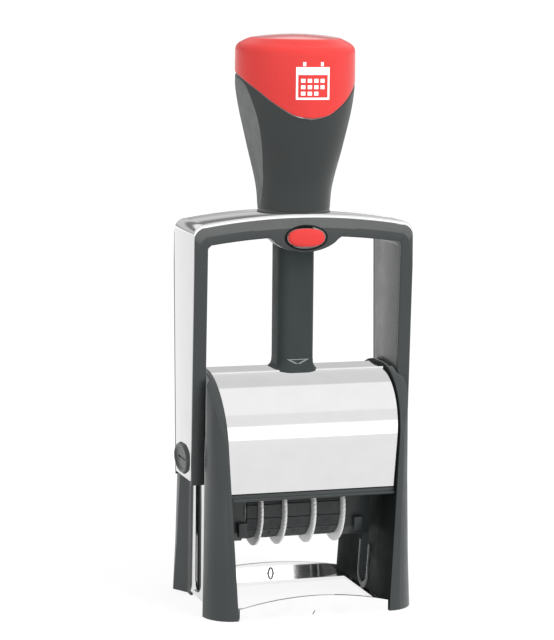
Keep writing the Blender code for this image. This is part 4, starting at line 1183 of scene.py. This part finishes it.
def build_pieces():
    handle_cap()
    cap_pictogram()
    handle_grip()
    grip_base_ring()
    lock_button()
    button_rim()
    yoke_strap()
    yoke_trim(-1, "yoke_front_trim")
    yoke_trim(1, "yoke_rear_trim")
    lug_plug(-1, "lug_plug_left")
    lug_plug(1, "lug_plug_right")
    guide_column()
    column_collar()
    hood()
    return_spring()
    ink_pad()
    text_die()
    base_plate()
    refined("hood_rail", 0.15, material="side_plastic")
    # The bracket's lighter plastic is a painted sheen on the arms' inner faces
    refined("yoke_bracket", 0.12, material="arm_painted_sheen")
    for side in (-1, 1):
        side_frame(side)
        slot_rim(side)
    for number in range(1, 5):
        setting_wheel(number)
        date_band(number)
    for node, bevel in REFINED.items():
        refined(node, bevel)


# ---------- studio ----------

def build_floor():
    """Pale floor that runs out of sight."""
    shape = bmesh.new()
    size = 6000.0
    corners = [shape.verts.new((x * size, y * size, -0.05)) for x, y in ((-1, -1), (1, -1), (1, 1), (-1, 1))]
    shape.faces.new(corners)
    floor = to_object("studio_floor", shape)
    material, tree, shader, place = node_chain("studio_floor")
    cloud = noise(tree, place, 60.0)
    grey = (0.14, 0.14, 0.14)
    plug(tree, shader,
         {"Specular IOR Level": 0.1, "Emission Color": (1, 1, 1, 1), "Emission Strength": 0.85},
         {"Base Color": tint(tree, cloud, grey, 0.005), "Roughness": vary(tree, cloud, 0.85, 0.95)})
    floor.data.materials.append(material)


# Brightness of the surroundings by angle: 0 front horizon, 90 overhead, 180 rear horizon
SKY = ((0, 1.75), (22.5, 1.75), (24.5, 1.10), (44, 1.10), (46, 1.23),
       (102, 1.23), (105, 0.90), (149, 0.90), (151, 1.15), (157, 1.15), (160, 0.25), (165, 0.25),
       (168, 0.68), (173.8, 0.68), (175.5, 0.52), (178.2, 0.50), (179.3, 1.05))


def build_sky():
    """Studio surroundings: soft bands of light across the room, plain white behind."""
    world = bpy.data.worlds.new("studio")
    world.use_nodes = True
    tree = world.node_tree
    tree.nodes.clear()
    place = add_node(tree, "TexCoord").outputs["Generated"]
    split = add_node(tree, "SeparateXYZ", links={"Vector": place})
    front = add_node(tree, "Math", {1: -1.0}, {0: split.outputs["Y"]})
    front.operation = "MULTIPLY"
    turn = add_node(tree, "Math", links={0: split.outputs["Z"], 1: front.outputs["Value"]})
    turn.operation = "ARCTAN2"
    half_turn = {"From Min": 0.0, "From Max": math.pi}
    spread = add_node(tree, "MapRange", half_turn, {"Value": turn.outputs["Value"]})
    curve = add_node(tree, "ValToRGB", links={"Fac": spread.outputs["Result"]})
    stops = curve.color_ramp.elements
    brightest = max(level for angle, level in SKY)
    for index, (angle, level) in enumerate(SKY):
        stop = stops[index] if index < 2 else stops.new(1.0)
        stop.position = angle / 180.0
        stop.color = (level / brightest,) * 3 + (1.0,)
    room = add_node(tree, "Background", {"Strength": brightest}, {"Color": curve.outputs["Color"]})
    white = add_node(tree, "Background", {"Color": (1, 1, 1, 1), "Strength": 1.05})
    mix = add_node(tree, "MixShader", links={
        "Fac": add_node(tree, "LightPath").outputs["Is Camera Ray"],
        1: room.outputs["Background"], 2: white.outputs["Background"]})
    add_node(tree, "OutputWorld", links={"Surface": mix.outputs["Shader"]})
    bpy.context.scene.world = world


def add_softbox(name, place, target, size, power):
    light = bpy.data.lights.new(name, "AREA")
    light.shape = "RECTANGLE"
    light.size = size[0]
    light.size_y = size[1]
    light.energy = power
    item = bpy.data.objects.new(name, light)
    item.location = place
    item.rotation_euler = (Vector(target) - Vector(place)).to_track_quat("-Z", "Y").to_euler()
    item.visible_camera = False
    item.visible_glossy = False
    bpy.context.scene.collection.objects.link(item)


def build_camera():
    """Long lens a little above the stamp, turned to its left side."""
    azimuth = math.radians(17.256)
    elevation = math.radians(7.797)
    roll = math.radians(-0.5367)
    distance = 0.62106
    target = Vector((-0.004334, 0.0, 0.07609))
    right = Vector((math.cos(azimuth), -math.sin(azimuth), 0))
    forward = Vector((math.sin(azimuth) * math.cos(elevation), math.cos(azimuth) * math.cos(elevation),
                      -math.sin(elevation)))
    up = right.cross(forward)
    side_x = right * math.cos(roll) - up * math.sin(roll)
    side_y = right * math.sin(roll) + up * math.cos(roll)
    place = target - forward * distance
    data = bpy.data.cameras.new("camera")
    data.sensor_width = 36.0
    data.lens = 130.22
    data.clip_start = 0.01
    data.clip_end = 50.0
    camera = bpy.data.objects.new("camera", data)
    axes = Matrix((side_x, side_y, -forward)).transposed().to_4x4()
    camera.matrix_world = Matrix.Translation(place) @ axes
    bpy.context.scene.collection.objects.link(camera)
    bpy.context.scene.camera = camera


build_pieces()
build_floor()
build_sky()
add_softbox("key_softbox", (0.45, -0.65, 0.85), (0, 0, 0.06), (0.5, 0.5), 7.0)
add_softbox("fill_softbox", (-0.8, -0.3, 0.5), (0, 0, 0.07), (0.6, 0.6), 0.3)
build_camera()
bpy.context.scene.view_settings.view_transform = "Standard"
